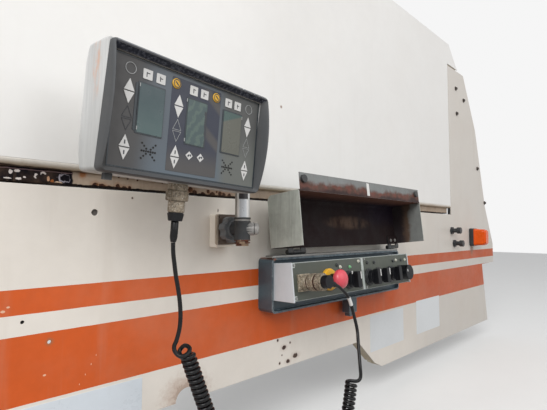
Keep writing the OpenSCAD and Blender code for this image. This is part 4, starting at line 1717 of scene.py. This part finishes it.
@dataclass
class CurlyCord:
    """The cord from the terminal to the control box."""

    diameter: float = 6.4
    sides: int = 10
    spacing: float = 3.0
    coil_radius: float = 8.6
    pitch: float = 7.6
    steps: int = 16
    last_turn: int = 12
    sleeve_span: tuple = (-149.0, -131.0)
    sleeve_left: float = -330.0
    sleeve_wall: float = 0.5
    follow: tuple = ((-0.665, -0.2, -0.2), (-0.36, -0.2, -0.2))
    coil: tuple = (
        (-661, -175.6, -179), (-648, -177, -214), (-634, -179, -252), (-618, -182, -292),
        (-597, -186, -336), (-572, -190, -379), (-541, -195, -416), (-502, -201, -440),
        (-458, -208, -447), (-417, -216, -436), (-385, -225, -408), (-363, -233, -368),
        (-352, -238, -322), (-344, -240, -275),
    )
    upper_tail: tuple = (
        (-683.8, -169.2, -17.3), (-683.5, -168.9, -26), (-682.6, -168.8, -36),
        (-680.6, -169, -50), (-678.6, -170, -66), (-676, -171.5, -82), (-674.1, -173, -98),
        (-673, -174, -113.5), (-673, -174.6, -127), (-674.8, -175, -141),
        (-678.5, -174, -155.5), (-681, -172.5, -162.5), (-681.5, -173.5, -168.5),
        (-679.5, -176.5, -173.5), (-676, -181, -177), (-671, -183.5, -176.5),
        (-664.5, -183, -174), (-660, -180, -170), (-660.5, -175.5, -167),
        (-662.5, -170.5, -166.5), (-664.5, -166.5, -169.5), (-668.5, -166, -175.5),
    )
    box_tail: tuple = (
        (-332, -243, -281.5), (-326.5, -246.3, -278.5), (-323.5, -246.5, -271),
        (-322, -244.5, -259), (-317, -240, -245), (-311.5, -234.8, -231), (-306, -230, -217),
        (-300, -225, -203), (-298.5, -221.5, -189), (-300, -218.6, -175),
        (-303.5, -217.2, -161), (-308, -216.6, -149), (-312.5, -216.2, -138.5),
        (-319, -215.8, -129), (-327.5, -215.2, -121), (-337.5, -214.4, -113.5),
        (-347.7, -213.9, -106.9), (-358.3, -213.4, -102.9),
    )

    @staticmethod
    def smooth(points: Sequence[Point], spacing: float, samples: int = 12) -> np.ndarray:
        """Resample a smooth curve through points, in millimetres.

        Args:
            points: its points.
            spacing: distance of the new points along it.
            samples: how finely each piece of it is followed.

        Returns:
            The new points, one in a row.
        """
        p = np.array(points, float)
        padded = np.vstack([2 * p[0] - p[1], p, 2 * p[-1] - p[-2]])
        out = []
        for a, b, c, d in zip(padded, padded[1:], padded[2:], padded[3:]):
            square, cube = 2 * a - 5 * b + 4 * c - d, 3 * b - a - 3 * c + d
            for t in np.linspace(0, 1, samples, endpoint=False):
                out.append(0.5 * (2 * b + (c - a) * t + square * t * t + cube * t**3))
        out.append(p[-1])
        fine = np.array(out)
        run = np.concatenate([[0], np.cumsum(np.linalg.norm(np.diff(fine, axis=0), axis=1))])
        count = max(2, int(round(run[-1] / spacing)) + 1)
        even = np.linspace(0, run[-1], count)
        return np.stack([np.interp(even, run, fine[:, k]) for k in range(3)], axis=1)

    def helix(self) -> np.ndarray:
        """Centreline of the curly part, in millimetres.

        Returns:
            Its points, one in a row.
        """
        axis = self.smooth(self.coil, self.pitch / self.steps)
        tangents = np.gradient(axis, axis=0)
        tangents /= np.linalg.norm(tangents, axis=1)[:, None]
        u = np.cross(tangents[0], (0.0, 1.0, 0.0))
        u /= np.linalg.norm(u)
        if u[0] > 0:
            u = -u
        out = []
        for i, (centre, t) in enumerate(zip(axis, tangents)):
            u = u - t * u.dot(t)
            u /= np.linalg.norm(u)
            w = np.cross(t, u)
            a = 2 * math.pi * i / self.steps
            out.append(centre + self.coil_radius * (math.cos(a) * u - math.sin(a) * w))
        return np.array(out[: -self.last_turn])

    def centreline(self) -> np.ndarray:
        """The whole cord's centreline, in metres, from the terminal to the box.

        Returns:
            Its points, one in a row.
        """
        helix = self.helix()
        first = self.smooth([*self.upper_tail, helix[0], helix[2]], self.spacing)[:-2]
        last = self.smooth([helix[-3], helix[-1], *self.box_tail], self.spacing)[3:]
        return np.vstack([first, helix[1:], last]) * MM

    def build(self) -> list[Piece]:
        """Make and dress the cord and the sleeve on it.

        Returns:
            Both pieces.
        """
        line = self.centreline()
        cord = Shapes.tube(line, self.diameter / 2 * MM, self.sides, "curly_cord")
        Shapes.dressed(cord, Finishes.CORD, 60.0)
        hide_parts("cord_tail_term", "cord_coil", "cord_tail_box")
        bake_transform(cord)
        return [cord, self.sleeve(line)]

    def sleeve(self, line: np.ndarray) -> Piece:
        """White marking sleeve on the tail near the box.

        Args:
            line: the cord's centreline in metres.

        Returns:
            The sleeve.
        """
        x, z = line[:, X] / MM, line[:, Z] / MM
        low, high = self.sleeve_span
        near = line[(z > low) & (z < high) & (x > self.sleeve_left)]
        piece = Shapes.tube(near, (self.diameter / 2 + self.sleeve_wall) * MM, 16, "cord_sleeve")
        Shapes.dressed(piece, Finishes.PRINT, 60.0)
        return ride(piece, Body.PANEL)


@dataclass
class BodyPanel:
    """Painted sheets, their edges, the frame behind them and what is stuck or bolted on."""

    bolts: tuple = ((667, 574), (747, 543), (670, 472), (886, 272), (964, 126))
    film: tuple = (-870.0, -670.0, -290.0, -237.0)
    labels: tuple = ((10.0, 200.0, -337.0, -238.0), (288.0, 464.0, -336.0, -229.0))
    holes: tuple = (
        -713, -698, -681, -662, -649, -635, -620, -606, -592, -577, -563, -548, -534, -520, -505,
    )

    def build(self) -> list[Piece]:
        """Make every piece of the panel.

        Returns:
            The pieces.
        """
        rows = (
            ("body_sheet", Finishes.SHEET, 0.8, "cream_paint"),
            ("upper_cover", Finishes.COVER, 0.8, "cream_paint"),
            ("sheet_flanges", Finishes.EDGE, 0.8, "edge_paint"),
            ("cover_edges", Finishes.LIP, 0.6, "edge_paint"),
            ("recess_channel", Finishes.RECESS, 0.5, "recess_paint"),
            ("frame_rails", Finishes.FRAME, 1.5, "frame_paint"),
            ("frame_posts", Finishes.FRAME, 1.5, "frame_paint"),
            ("mount_plates", Finishes.FRAME, 1.2, "frame_paint"),
        )
        made = dress(rows, Body.PANEL)
        return [*made.values(), self.fastened(), *self.films(), self.recess_dots()]

    def fastened(self) -> Piece:
        """Bolts on the upright strip.

        Returns:
            The piece.
        """
        bolts = Fasteners.place(
            "strip_bolts", screw_tree(), [(x, FACE_Y, z) for x, z in self.bolts], ROW,
            Finishes.BOLT, Head_radius=0.0055, Head_height=0.005, Washer_radius=0.0085,
            Washer_height=0.0015,
        )
        return ride(bolts, Body.PANEL)

    def films(self) -> list[Piece]:
        """Blank stuck-on films.

        Returns:
            The pieces.
        """
        made = []
        for name, finish, (x0, x1, z0, z1) in (
            ("blank_film", Finishes.BLUISH_FILM, self.film),
            ("blank_label_left", Finishes.LABEL, self.labels[0]),
            ("blank_label_right", Finishes.LABEL, self.labels[1]),
        ):
            bm = bmesh.new()
            centre = ((x0 + x1) / 2, (z0 + z1) / 2)
            Shapes.prism(
                bm, Shapes.rounded(x1 - x0, z1 - z0, 2.0, 4, centre), FACE_Y - 0.35, FACE_Y, ROW
            )
            made.append(ride(Shapes.piece(name, bm, finish), Body.PANEL))
        return made

    def recess_dots(self) -> Piece:
        """Row of small dark holes in the recess.

        Returns:
            The piece.
        """
        holes = [(x, FACE_Y + 10.0, 85.5 - 1.2 * (k % 3)) for k, x in enumerate(self.holes)]
        dots = Fasteners.place(
            "recess_holes", screw_tree(), holes, ROW, Finishes.HOLE_BROWN,
            Head_radius=0.0012, Head_height=0.0001, Washer_radius=0.0017, Washer_height=0.0003,
            Sides=12,
        )
        return ride(dots, Body.PANEL)


@dataclass
class MarkerLamp:
    """Marker lamp and cable glands at the right."""

    def build(self) -> list[Piece]:
        """Dress the lamp and the glands.

        Returns:
            The pieces.
        """
        rows = (
            ("lamp_base", Finishes.BLACK_PLASTIC, 2.0, "black_plastic", 3),
            ("lamp_lens", Finishes.LENS, 2.2, "lens", 3),
            ("cable_glands", Finishes.BLACK_PLASTIC, 0.8, "zinc"),
        )
        return list(dress(rows, Body.PANEL).values())


@dataclass
class Clamp:
    """Block, star wheel, barrel and upright tube, in millimetres from the barrel's axis."""

    axis: Point = (-524.0, FACE_Y - 75.0, 3.0)
    turn: float = -45.0
    shoulder: float = 13.5
    stub_half: float = 12.0
    groove: tuple = (20.9, 22.6)
    lump_top: float = 10.9
    collar: tuple = (14.1, 16.9)

    def build(self) -> list[Piece]:
        """Dress the clamp.

        Returns:
            The pieces.
        """
        rows = (
            ("clamp_block", Finishes.CLAMP_CREAM, 1.6, "edge_paint"),
            ("clamp_flange", Finishes.CLAMP_FLANGE, 0.8, "black_paint"),
            ("clamp_wheel", Finishes.WHEEL, 1.4, "black_plastic"),
            ("clamp_barrel", Finishes.BLACK_PAINT, 0.9, "zinc"),
            ("clamp_nut", Finishes.RUSTY, 0.7, "rusty"),
            ("swivel_tube", Finishes.CHROME, 0.6, "chrome"),
        )
        made = dress(rows, Body.PANEL)
        self.stub_finish(made["clamp_barrel"])
        return list(made.values())

    def stub_finish(self, barrel: Piece) -> None:
        """Leave only the stub and a collar bare metal, with a dark groove.

        Args:
            barrel: the barrel.
        """
        along = local_frame(self.axis, turned(self.turn, "Z"))
        (near, far), (foot, head) = self.groove, self.collar
        Shapes.part_finish(
            barrel, Finishes.STUB, along,
            lambda p, n: p.x > self.shoulder and abs(p.z) < self.stub_half
            and not near < p.x < far,
        )
        Shapes.part_finish(
            barrel, Finishes.LUMP, along,
            lambda p, n: p.x <= self.shoulder and p.z < self.lump_top,
        )
        Shapes.part_finish(
            barrel, Finishes.STUB, along, lambda p, n: foot < p.z < head and abs(n.z) < 0.5
        )


@dataclass
class Terminal:
    """The operator terminal that swivels on the tube."""

    half_w: float = 133.0
    top: float = 81.0
    bottom: float = -77.0
    face_w: float = 248.0
    face_h: float = 140.0
    arc_y: float = 245.6
    arc_z: float = 13.3
    arc_r: float = 266.3
    windows: tuple = ((-70.5, 36.0), (1.8, 33.0), (68.5, 36.0))
    squares: tuple = (-79.0, -60.0, -7.0, 12.0, 58.0, 76.6)
    arrows: tuple = (-102.3, -29.6, 100.9)

    def build(self) -> list[Piece]:
        """Make and dress every piece of the terminal.

        Returns:
            The pieces.
        """
        pieces = [self.surround(), *self.face(), *self.keys()]
        rows = (
            ("term_housing", Finishes.CAST, 1.2, "silver_cast"),
            ("term_bracket", Finishes.BLACK_PAINT, 1.2, "black_paint"),
            ("term_socket", Finishes.CONNECTOR, 0.8, "zinc"),
            ("term_plug", Finishes.BLACK_KNOB, 0.8, "black_plastic"),
        )
        made = dress(rows, Body.TERMINAL)
        Shapes.part_finish(
            made["term_housing"], Finishes.BEZEL, TERMINAL, lambda p, n: p.z < self.bottom - 0.5
        )
        return [*pieces, *made.values(), self.connector(made["term_plug"]), self.boot()]

    @staticmethod
    def boot() -> Piece:
        """Rubber boot: straight, then drawn in at its end.

        Returns:
            The piece.
        """
        x, y, foot = CONNECTOR_AT
        bm = bmesh.new()
        down = TERMINAL @ Matrix.Translation((x, y, foot - 53.0)) @ turned(90, "X")
        profile = [
            (0, 0), (5.0, 0), (5.5, 0.8), (5.5, 22.0), (5.2, 25.0), (4.3, 28.5), (3.8, 30.4),
            (0, 30.4),
        ]
        Shapes.lathe(bm, profile, down)
        piece = Shapes.piece("boot", bm, Finishes.CORD, 40.0)
        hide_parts("term_boot")
        return ride(piece, Body.TERMINAL)

    @staticmethod
    def connector(plug: Piece) -> Piece:
        """Give the plug's upper part the look of its ring nut and add the knurl of both.

        Args:
            plug: the plug.

        Returns:
            The knurl.
        """
        x, y, foot = CONNECTOR_AT
        Shapes.part_finish(
            plug, Finishes.CONNECTOR, TERMINAL, lambda p, n: foot - 40.5 < p.z
        )
        knurl = Fasteners.place(
            "connector_ribs", rib_tree(), [(x, y, foot - 17.2)], TERMINAL,
            Finishes.CONNECTOR, turn=Matrix.Identity(4), Count=34, Ring_radius=0.0154,
            Rib_width=0.0016, Rib_length=0.012,
        )
        return ride(knurl, Body.TERMINAL)

    def surround(self) -> Piece:
        """The surround of the face: an arc for its front edge, a rounded rim, a sloping inside.

        Returns:
            The piece.
        """
        bm = bmesh.new()
        rim_w, rim_h = self.half_w, (self.top - self.bottom) / 2
        mid_z = (self.top + self.bottom) / 2
        line = Shapes.rounded(2 * rim_w, 2 * rim_h, 7.0, 6, (0.0, mid_z))
        dense: list[tuple] = []
        for (ax, az), (bx, bz) in zip(line, line[1:] + line[:1]):
            parts = max(1, int(max(abs(bx - ax), abs(bz - az)) / 7))
            dense += [
                (ax + (bx - ax) * k / parts, az + (bz - az) * k / parts) for k in range(parts)
            ]
        rings: list[list] = []
        for x, z in dense:
            front = self.arc_y - math.sqrt(self.arc_r**2 - (z - self.arc_z) ** 2)
            back = 7.6 - 12.0 * (z - self.bottom) / 163.0
            ix = max(-self.face_w / 2, min(self.face_w / 2, x * 0.94))
            iz = max(-self.face_h / 2, min(self.face_h / 2, mid_z + (z - mid_z) * 0.93))
            way_x, way_z = ix - x, iz - z
            section = (
                (0.0, back), (0.0, front + 7.5), (0.03, front + 4.6), (0.10, front + 2.2),
                (0.20, front + 0.7), (0.30, front + 0.1), (0.38, front + 0.5),
                (0.46, front + 2.0), (0.54, front * 0.9 + 3.2 * 0.6), (1.0, -0.15), (1.0, back),
            )
            rings.append(
                [
                    bm.verts.new(TERMINAL @ Vector((x + way_x * f, min(y, back), z + way_z * f)))
                    for f, y in section
                ]
            )
        made = []
        for a, b in zip(rings, rings[1:] + rings[:1]):
            for k in range(len(a)):
                j = (k + 1) % len(a)
                made.append(bm.faces.new((a[k], b[k], b[j], a[j])))
        bmesh.ops.recalc_face_normals(bm, faces=made)
        piece = Shapes.piece("terminal_surround", bm, Finishes.BEZEL, 50.0)
        # Faces under the visor take the darker copy: painted shade.
        Shapes.part_finish(
            piece, Finishes.VISOR_SHADE, TERMINAL,
            lambda p, n: n.z < -0.2 and 60.0 < p.z < self.top - 5.0 and p.y < 4.0,
        )
        # Top faces of the rim take the lighter copy: painted highlight.
        Shapes.part_finish(
            piece, Finishes.RIM_HIGHLIGHT, TERMINAL,
            lambda p, n: p.z > self.top - 5.0 and p.y < 0.0 and abs(p.x) < self.half_w - 6.0,
        )
        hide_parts("term_visor", "term_cheeks", "term_sill")
        return ride(piece, Body.TERMINAL)

    def plate(
        self, name: str, outlines: Sequence[Outline], finish: Finish, low: float, high: float,
    ) -> Piece:
        """Thin raised areas on the face.

        Args:
            name: the piece's name.
            outlines: their outlines in millimetres.
            finish: the finish.
            low: how far in front of the face they start.
            high: how far in front of it they end.

        Returns:
            The piece.
        """
        bm = bmesh.new()
        for outline in outlines:
            Shapes.prism(bm, outline, -high, -low, TERMINAL)
        piece = Shapes.piece(name, bm, finish)
        ride(piece, Body.TERMINAL)
        return piece

    def face(self) -> list[Piece]:
        """Film, dark centre field, windows with their dark edges, sound holes.

        Returns:
            The pieces.
        """
        film = refined("term_face", Finishes.FILM, 0.0)
        ride(film, Body.TERMINAL)
        centre = self.plate(
            "centre_field", [Shapes.rounded(85.0, 126.5, 1.5, 4, (0.3, 0.3))],
            Finishes.FILM_DARK, 0.0, 0.35,
        )
        frames = [Shapes.rounded(w + 3.0, 65.5, 1.2, 4, (x - 0.8, 9.2)) for x, w in self.windows]
        frames.append(Shapes.rounded(4.6, 60.0, 1.0, 4, (-91.6, 9.2)))
        side, high = self.face_w / 2, self.face_h / 2
        for sign in (-1, 1):
            frames.append(Shapes.rounded(1.6, 2 * high - 1, 0.3, 2, (sign * (side - 1.6), 0.0)))
            frames.append(Shapes.rounded(2 * side - 4, 1.6, 0.3, 2, (0.0, sign * (high - 1.6))))
        edges = self.plate(
            "window_edges", frames, Finishes.WINDOW_EDGE, 0.0, 0.7
        )
        pin_at = ((-88.5, 37.5), (-88.5, -17.0), (-17.0, 37.5), (-16.5, -17.5), (87.0, 37.0))
        pins = self.plate(
            "window_pins", [Shapes.rounded(1.2, 4.6, 0.4, 2, at) for at in pin_at],
            Finishes.PRINT_FAINT, 0.6, 1.15,
        )
        glass = self.plate(
            "window_glass", [Shapes.rounded(w, 62.0, 1.0, 4, (x, 9.0)) for x, w in self.windows],
            Finishes.WINDOW, 0.6, 1.1,
        )
        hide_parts("term_windows")
        steps = range(-3, 4)
        cross = [(i * 3.2, j * 3.2) for i in steps for j in steps if abs(i) == abs(j)]
        cross += [(i * 3.2, 0.0) for i in (-3, -2, -1, 1, 2, 3)]
        grilles = ((-69, -43.5), (64.7, -43.9))
        holes = [(cx + x, -0.15, cz + z) for cx, cz in grilles for x, z in cross]
        dots = Fasteners.place(
            "sound_holes", screw_tree(), holes, TERMINAL, Finishes.HOLE,
            Head_radius=0.0009, Head_height=0.0001, Washer_radius=0.0013, Washer_height=0.0003,
            Sides=12,
        )
        ride(dots, Body.TERMINAL)
        return [film, centre, edges, pins, glass, dots]

    @staticmethod
    def triangle(x: float, z: float, way: int, w: float = 14.0, h: float = 15.6) -> list[tuple]:
        """Arrow key that points up (way 1) or down (way -1) from its base height."""
        return [(x - w / 2, z + way * 0.8), (x + w / 2, z + way * 0.8), (x, z + way * h)]

    @staticmethod
    def outline_of(shape: list[tuple], inset: float) -> list[list[tuple]]:
        """Thin bars along the sides of a shape.

        Args:
            shape: its corners.
            inset: size of the hollow, as a share of the shape.

        Returns:
            The outlines of the bars.
        """
        count = len(shape)
        cx = sum(p[0] for p in shape) / count
        cz = sum(p[1] for p in shape) / count
        inner = [(cx + (x - cx) * inset, cz + (z - cz) * inset) for x, z in shape]
        return [
            [shape[i], shape[(i + 1) % count], inner[(i + 1) % count], inner[i]]
            for i in range(count)
        ]

    def keys(self) -> list[Piece]:
        """Square, round and arrow keys of the three groups.

        Returns:
            The pieces.
        """
        squares = [Shapes.rounded(13.2, 12.8, 0.8, 3, (x, 53.0)) for x in self.squares]
        solid, marks, lines = [], [], []
        for x in self.arrows:
            row = []
            for way in (1, -1):
                solid.append(self.triangle(x, 25.6, way))
                row += self.outline_of(self.triangle(x, -7.6, way), 0.88)
                solid.append(self.triangle(x, -43.6, way))
                marks.append(Shapes.rounded(1.6, 5.0, 0.5, 2, (x, -43.6 + way * 6.4)))
            lines.append(row)
        for x in (-6.3, 13.1):
            solid.append([(x - 6, -38), (x, -32), (x + 6, -38), (x, -44)])
            marks.append([(x - 3.4, -38.6), (x - 1.0, -36.0), (x + 0.6, -37.6), (x - 1.8, -40.2)])
            marks.append([(x + 0.4, -36.2), (x + 2.4, -35.6), (x + 3.6, -38.4), (x + 1.8, -39.0)])
        for k, x in enumerate(self.squares):
            marks.append(Shapes.rounded(1.1, 6.4, 0.4, 2, (x - 1.6 + 0.5 * (k % 3), 52.6)))
            marks.append(Shapes.rounded(4.2, 1.1, 0.4, 2, (x + 0.6, 54.6 - 1.2 * (k % 2))))
        pale = self.plate("pale_keys", [*squares, *solid], Finishes.PRINT, 0.3, 0.9)
        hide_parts("term_keys")
        dark = self.plate("key_marks", marks, Finishes.PRINT_DARK, 0.9, 1.1)
        plates = [pale, dark]
        for name, row, finish in zip(
            ("key_lines_left", "key_lines_middle", "key_lines_right"), lines,
            (Finishes.PRINT_DARK, Finishes.PRINT_FAINT, Finishes.PRINT_FAINT),
        ):
            plates.append(self.plate(name, row, finish, 0.3, 0.6))
        return plates + [self.round_keys(), *self.yellow_keys()]

    def round_keys(self) -> Piece:
        """Thin pale rings of the two round keys.

        Returns:
            The piece.
        """
        bm = bmesh.new()
        for x, z in ((-102.3, 54.0), (100.9, 54.0)):
            self.ring_mesh(bm, x, z, 7.3, 6.5)
        rings = Shapes.piece("key_rings", bm, Finishes.PRINT_FAINT)
        return ride(rings, Body.TERMINAL)

    def yellow_keys(self) -> list[Piece]:
        """Yellow push buttons, each with a dark ring and a slanting mark.

        Returns:
            The pieces.
        """
        places = ((-36.0, 54.6), (33.8, 54.6))
        bm = bmesh.new()
        for x, z in places:
            local = TERMINAL @ Matrix.Translation((x, 0.0, z))
            profile = [(0, 0.2), (6.8, 0.2), (6.8, 1.2), (5.9, 2.0), (4.6, 2.0), (0, 2.3)]
            Shapes.lathe(bm, profile, local)
        yellow = Shapes.piece("yellow_keys", bm, Finishes.YELLOW)
        ride(yellow, Body.TERMINAL)
        bm = bmesh.new()
        for x, z in places:
            self.ring_mesh(bm, x, z, 5.6, 4.5, 2.2)
            Shapes.prism(
                bm,
                [(x - 2.9, z + 1.5), (x - 1.9, z + 2.6), (x + 2.9, z - 1.5), (x + 1.9, z - 2.6)],
                -2.5, -2.1, TERMINAL,
            )
        bars = Shapes.piece("yellow_key_bars", bm, Finishes.PRINT_DARK)
        ride(bars, Body.TERMINAL)
        return [yellow, bars]

    @staticmethod
    def ring_mesh(
        bm: Mesh, x: float, z: float, outer: float, inner: float, high: float = 0.7
    ) -> None:
        """Add a flat ring on the face, in millimetres.

        Args:
            bm: the mesh to add to.
            x: its middle.
            z: its middle.
            outer: its outer radius.
            inner: its inner radius.
            high: how far it stands out.
        """
        loop = ((outer, 0.0), (outer, high), (inner, high), (inner, 0.0))
        Shapes.lathe(bm, loop, TERMINAL @ Matrix.Translation((x, 0.0, z)))


@dataclass
class ControlBox:
    """Tray, box, face plates and the controls on them."""

    screw_at: tuple = (
        (-403, 32), (-403, -32), (-172, 32), (-172, -32), (-156, 33), (-156, -33), (52, 32),
        (52, -32),
    )
    socket_grooves: tuple = ((17.8, 21.2), (35.8, 39.2))
    dark_lamps: tuple = (-264, -144, -113, -22, 21)
    green_lamps: tuple = (-217,)
    lamp_reach: float = 5.0

    def build(self) -> list[Piece]:
        """Make and dress every piece of the control box.

        Returns:
            The pieces.
        """
        rows = (
            ("tray", Finishes.SLATE, 3.0, "slate_paint"),
            ("latch_tab", Finishes.SLATE, 1.5, "slate_paint"),
            ("hinge_rail", Finishes.ZINC, 0.8, "zinc"),
            ("hinge_knuckles", Finishes.BLACK_PAINT, 0.6, "black_paint"),
            ("control_box", Finishes.SLATE, 0.8, "slate_paint"),
            ("box_end_caps", Finishes.BOX_END, 1.2, "silver_cast"),
            ("face_left", Finishes.OLIVE, 0.8, "olive_face"),
            ("face_right", Finishes.OLIVE, 0.8, "olive_face"),
            ("stop_collar", Finishes.YELLOW, 0.8, "yellow_plastic"),
            ("selector_rings", Finishes.BLACK_PLASTIC, 0.8, "black_plastic"),
            ("selector_knobs", Finishes.BLACK_KNOB, 1.6, "black_plastic"),
            ("indicator_lamps", Finishes.LAMP_WHITE, 0.8, "white_lens"),
            ("box_socket", Finishes.SOCKET, 0.6, "tan_metal"),
            ("box_plug", Finishes.BLACK_KNOB, 0.8, "black_plastic"),
        )
        made = dress(rows, Body.PANEL)
        Shapes.part_finish(
            made["box_socket"], Finishes.HOLE_BROWN, CONTROL_FACE,
            lambda p, n: any(low < -p.y < high for low, high in self.socket_grooves),
        )
        for places, finish in (
            (self.dark_lamps, Finishes.LAMP_DARK), (self.green_lamps, Finishes.LAMP_GREEN)
        ):
            Shapes.part_finish(
                made["indicator_lamps"], finish, CONTROL_FACE,
                lambda p, n, near=places: any(abs(p.x - x) < self.lamp_reach for x in near),
            )
        added = [self.stop(), self.pointers(), self.screws(), self.ribs(), self.trim()]
        return [*made.values(), *added]

    def trim(self) -> Piece:
        """Pale joint between the two face plates, edge strips and worn left corners.

        Returns:
            The piece.
        """
        bm = bmesh.new()
        for x, z, w, h in (
            (-165.0, 0.0, 9.0, 74.0), (-177.0, 36.5, 458.0, 1.2), (-177.0, -36.7, 458.0, 0.7),
            (-404.5, 31.5, 8.0, 9.0), (-404.5, -31.5, 8.0, 9.0),
        ):
            Shapes.prism(bm, Shapes.rounded(w, h, 0.5, 2, (x, z)), -0.4, 0.0, CONTROL_FACE)
        return ride(Shapes.piece("face_trim", bm, Finishes.TRIM), Body.PANEL)

    def stop(self) -> Piece:
        """The mushroom head.

        Returns:
            The piece.
        """
        bm = bmesh.new()
        profile = (
            (0, 11.0), (12, 11.0), (12, 23.0), (17, 25.0), (19.3, 28.0), (20, 32.0), (19.4, 35.5),
            (17.5, 38.5), (14, 41.2), (9, 43.2), (4.5, 44.2), (0, 44.5),
        )
        Shapes.lathe(bm, profile, CONTROL_FACE @ Matrix.Translation(STOP_AT), 56)
        piece = Shapes.piece("stop_head", bm, Finishes.RED, 60.0)
        Shapes.part_finish(
            piece, Finishes.BLACK_KNOB, CONTROL_FACE, lambda p, n: p.y > -22.5
        )
        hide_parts("stop_button")
        return ride(piece, Body.PANEL)

    def pointers(self) -> Piece:
        """White marks on the selector knobs.

        Returns:
            The piece.
        """
        bars = [(x + 5.6, -1.0, 15.6, -30.0) for x in BAR_KNOBS]
        bars += [(BAR_KNOBS[0] - 9.0, 6.0, 7.0, -17.0), (-3.5, -5.0, 6.0, -30.0)]
        bm = bmesh.new()
        for x, z, high, y in bars:
            outline = Shapes.rounded(2.6, high, 0.6, 2, (x, z))
            Shapes.prism(bm, outline, y - 0.6, y + 0.1, CONTROL_FACE)
        return ride(Shapes.piece("selector_marks", bm, Finishes.PRINT), Body.PANEL)

    def screws(self) -> Piece:
        """Corner screws of the face plates.

        Returns:
            The piece.
        """
        piece = Fasteners.place(
            "face_screws", screw_tree(), [(x, 0.0, z) for x, z in self.screw_at],
            CONTROL_FACE, Finishes.ZINC, Head_radius=0.0026, Head_height=0.0016,
            Washer_radius=0.0036, Washer_height=0.0005, Sides=16,
        )
        return ride(piece, Body.PANEL)

    def ribs(self) -> Piece:
        """Knurl on the socket's ring.

        Returns:
            The piece.
        """
        piece = Fasteners.place(
            "socket_ribs", rib_tree(),
            [(PLUG_X, -28.5, PLUG_Z), (PLUG_X, -46.0, PLUG_Z)], CONTROL_FACE, Finishes.SOCKET,
            Count=30, Ring_radius=0.0160, Rib_width=0.0018, Rib_length=0.011,
        )
        return ride(piece, Body.PANEL)


@dataclass
class LidParts:
    """The hinged lid."""

    def build(self) -> list[Piece]:
        """Make and dress the lid's pieces.

        Returns:
            The pieces.
        """
        rows = (
            ("lid_shell", Finishes.LID_OUT, 0.7, "lid_paint"),
            ("lid_buffers", Finishes.BLACK_PLASTIC, 1.0, "buffer"),
            ("lid_hinges", Finishes.BLACK_PAINT, 0.7, "black_paint"),
        )
        made = dress(rows, Body.LID)
        Shapes.part_finish(made["lid_hinges"], Finishes.LID_IN, LID, lambda p, n: p.y < -8.0)
        self.dress_inside(made["lid_shell"])
        screws = Fasteners.place(
            "leaf_screws", screw_tree(),
            [(x + dx, -18.0, -5.9) for x in (-344.0, 64.0) for dx in (-14.0, 8.0)], LID,
            Finishes.STUB, turn=turned(180, "X"), Head_radius=0.0032, Head_height=0.0018,
            Washer_radius=0.0045, Washer_height=0.0006, Sides=16,
        )
        ride(screws, Body.LID)
        return [*made.values(), screws]

    @staticmethod
    def dress_inside(shell: Piece) -> None:
        """Give the inner faces the rusted finish, the right cheek and the lip their own.

        Args:
            shell: the lid's shell.
        """

        def inner(p: Vector, n: Vector) -> bool:
            """Tell whether a face looks into the lid, above its rim."""
            return p.z > -LID_HEIGHT + 0.2 and (
                (n.z < -0.3 and p.z > -14.0)
                or (n.y > 0.3 and p.y < -LID_REACH + 14.0)
                or (n.x > 0.5 and p.x < LID_LEFT + 4.0)
            )

        Shapes.part_finish(shell, Finishes.LID_IN, LID, inner)
        Shapes.part_finish(
            shell, Finishes.LID_CHEEK, LID,
            lambda p, n: n.x < -0.5 and p.x > LID_RIGHT - 4.0 and p.z > -LID_HEIGHT + 0.2,
        )
        Shapes.part_finish(shell, Finishes.LID_LIP, LID, lambda p, n: p.y < -LID_REACH - 0.5)


def main() -> None:
    """Build the classes in order and report each piece."""
    logging.basicConfig(level=logging.INFO, format="%(message)s")
    bpy.context.scene.view_settings.view_transform = "Standard"
    studio = Studio()
    studio.camera()
    made: list[Piece] = list(CurlyCord().build())
    for part in (BodyPanel(), MarkerLamp(), Clamp(), Terminal(), ControlBox(), LidParts()):
        pieces = part.build()
        LOG.info("%s: %s", type(part).__name__, ", ".join(p.name for p in pieces))
        made += pieces
    studio.world()
    studio.light()
    studio.floor()
    LOG.info("%d pieces", len(made))


if __name__ == "__main__":
    main()
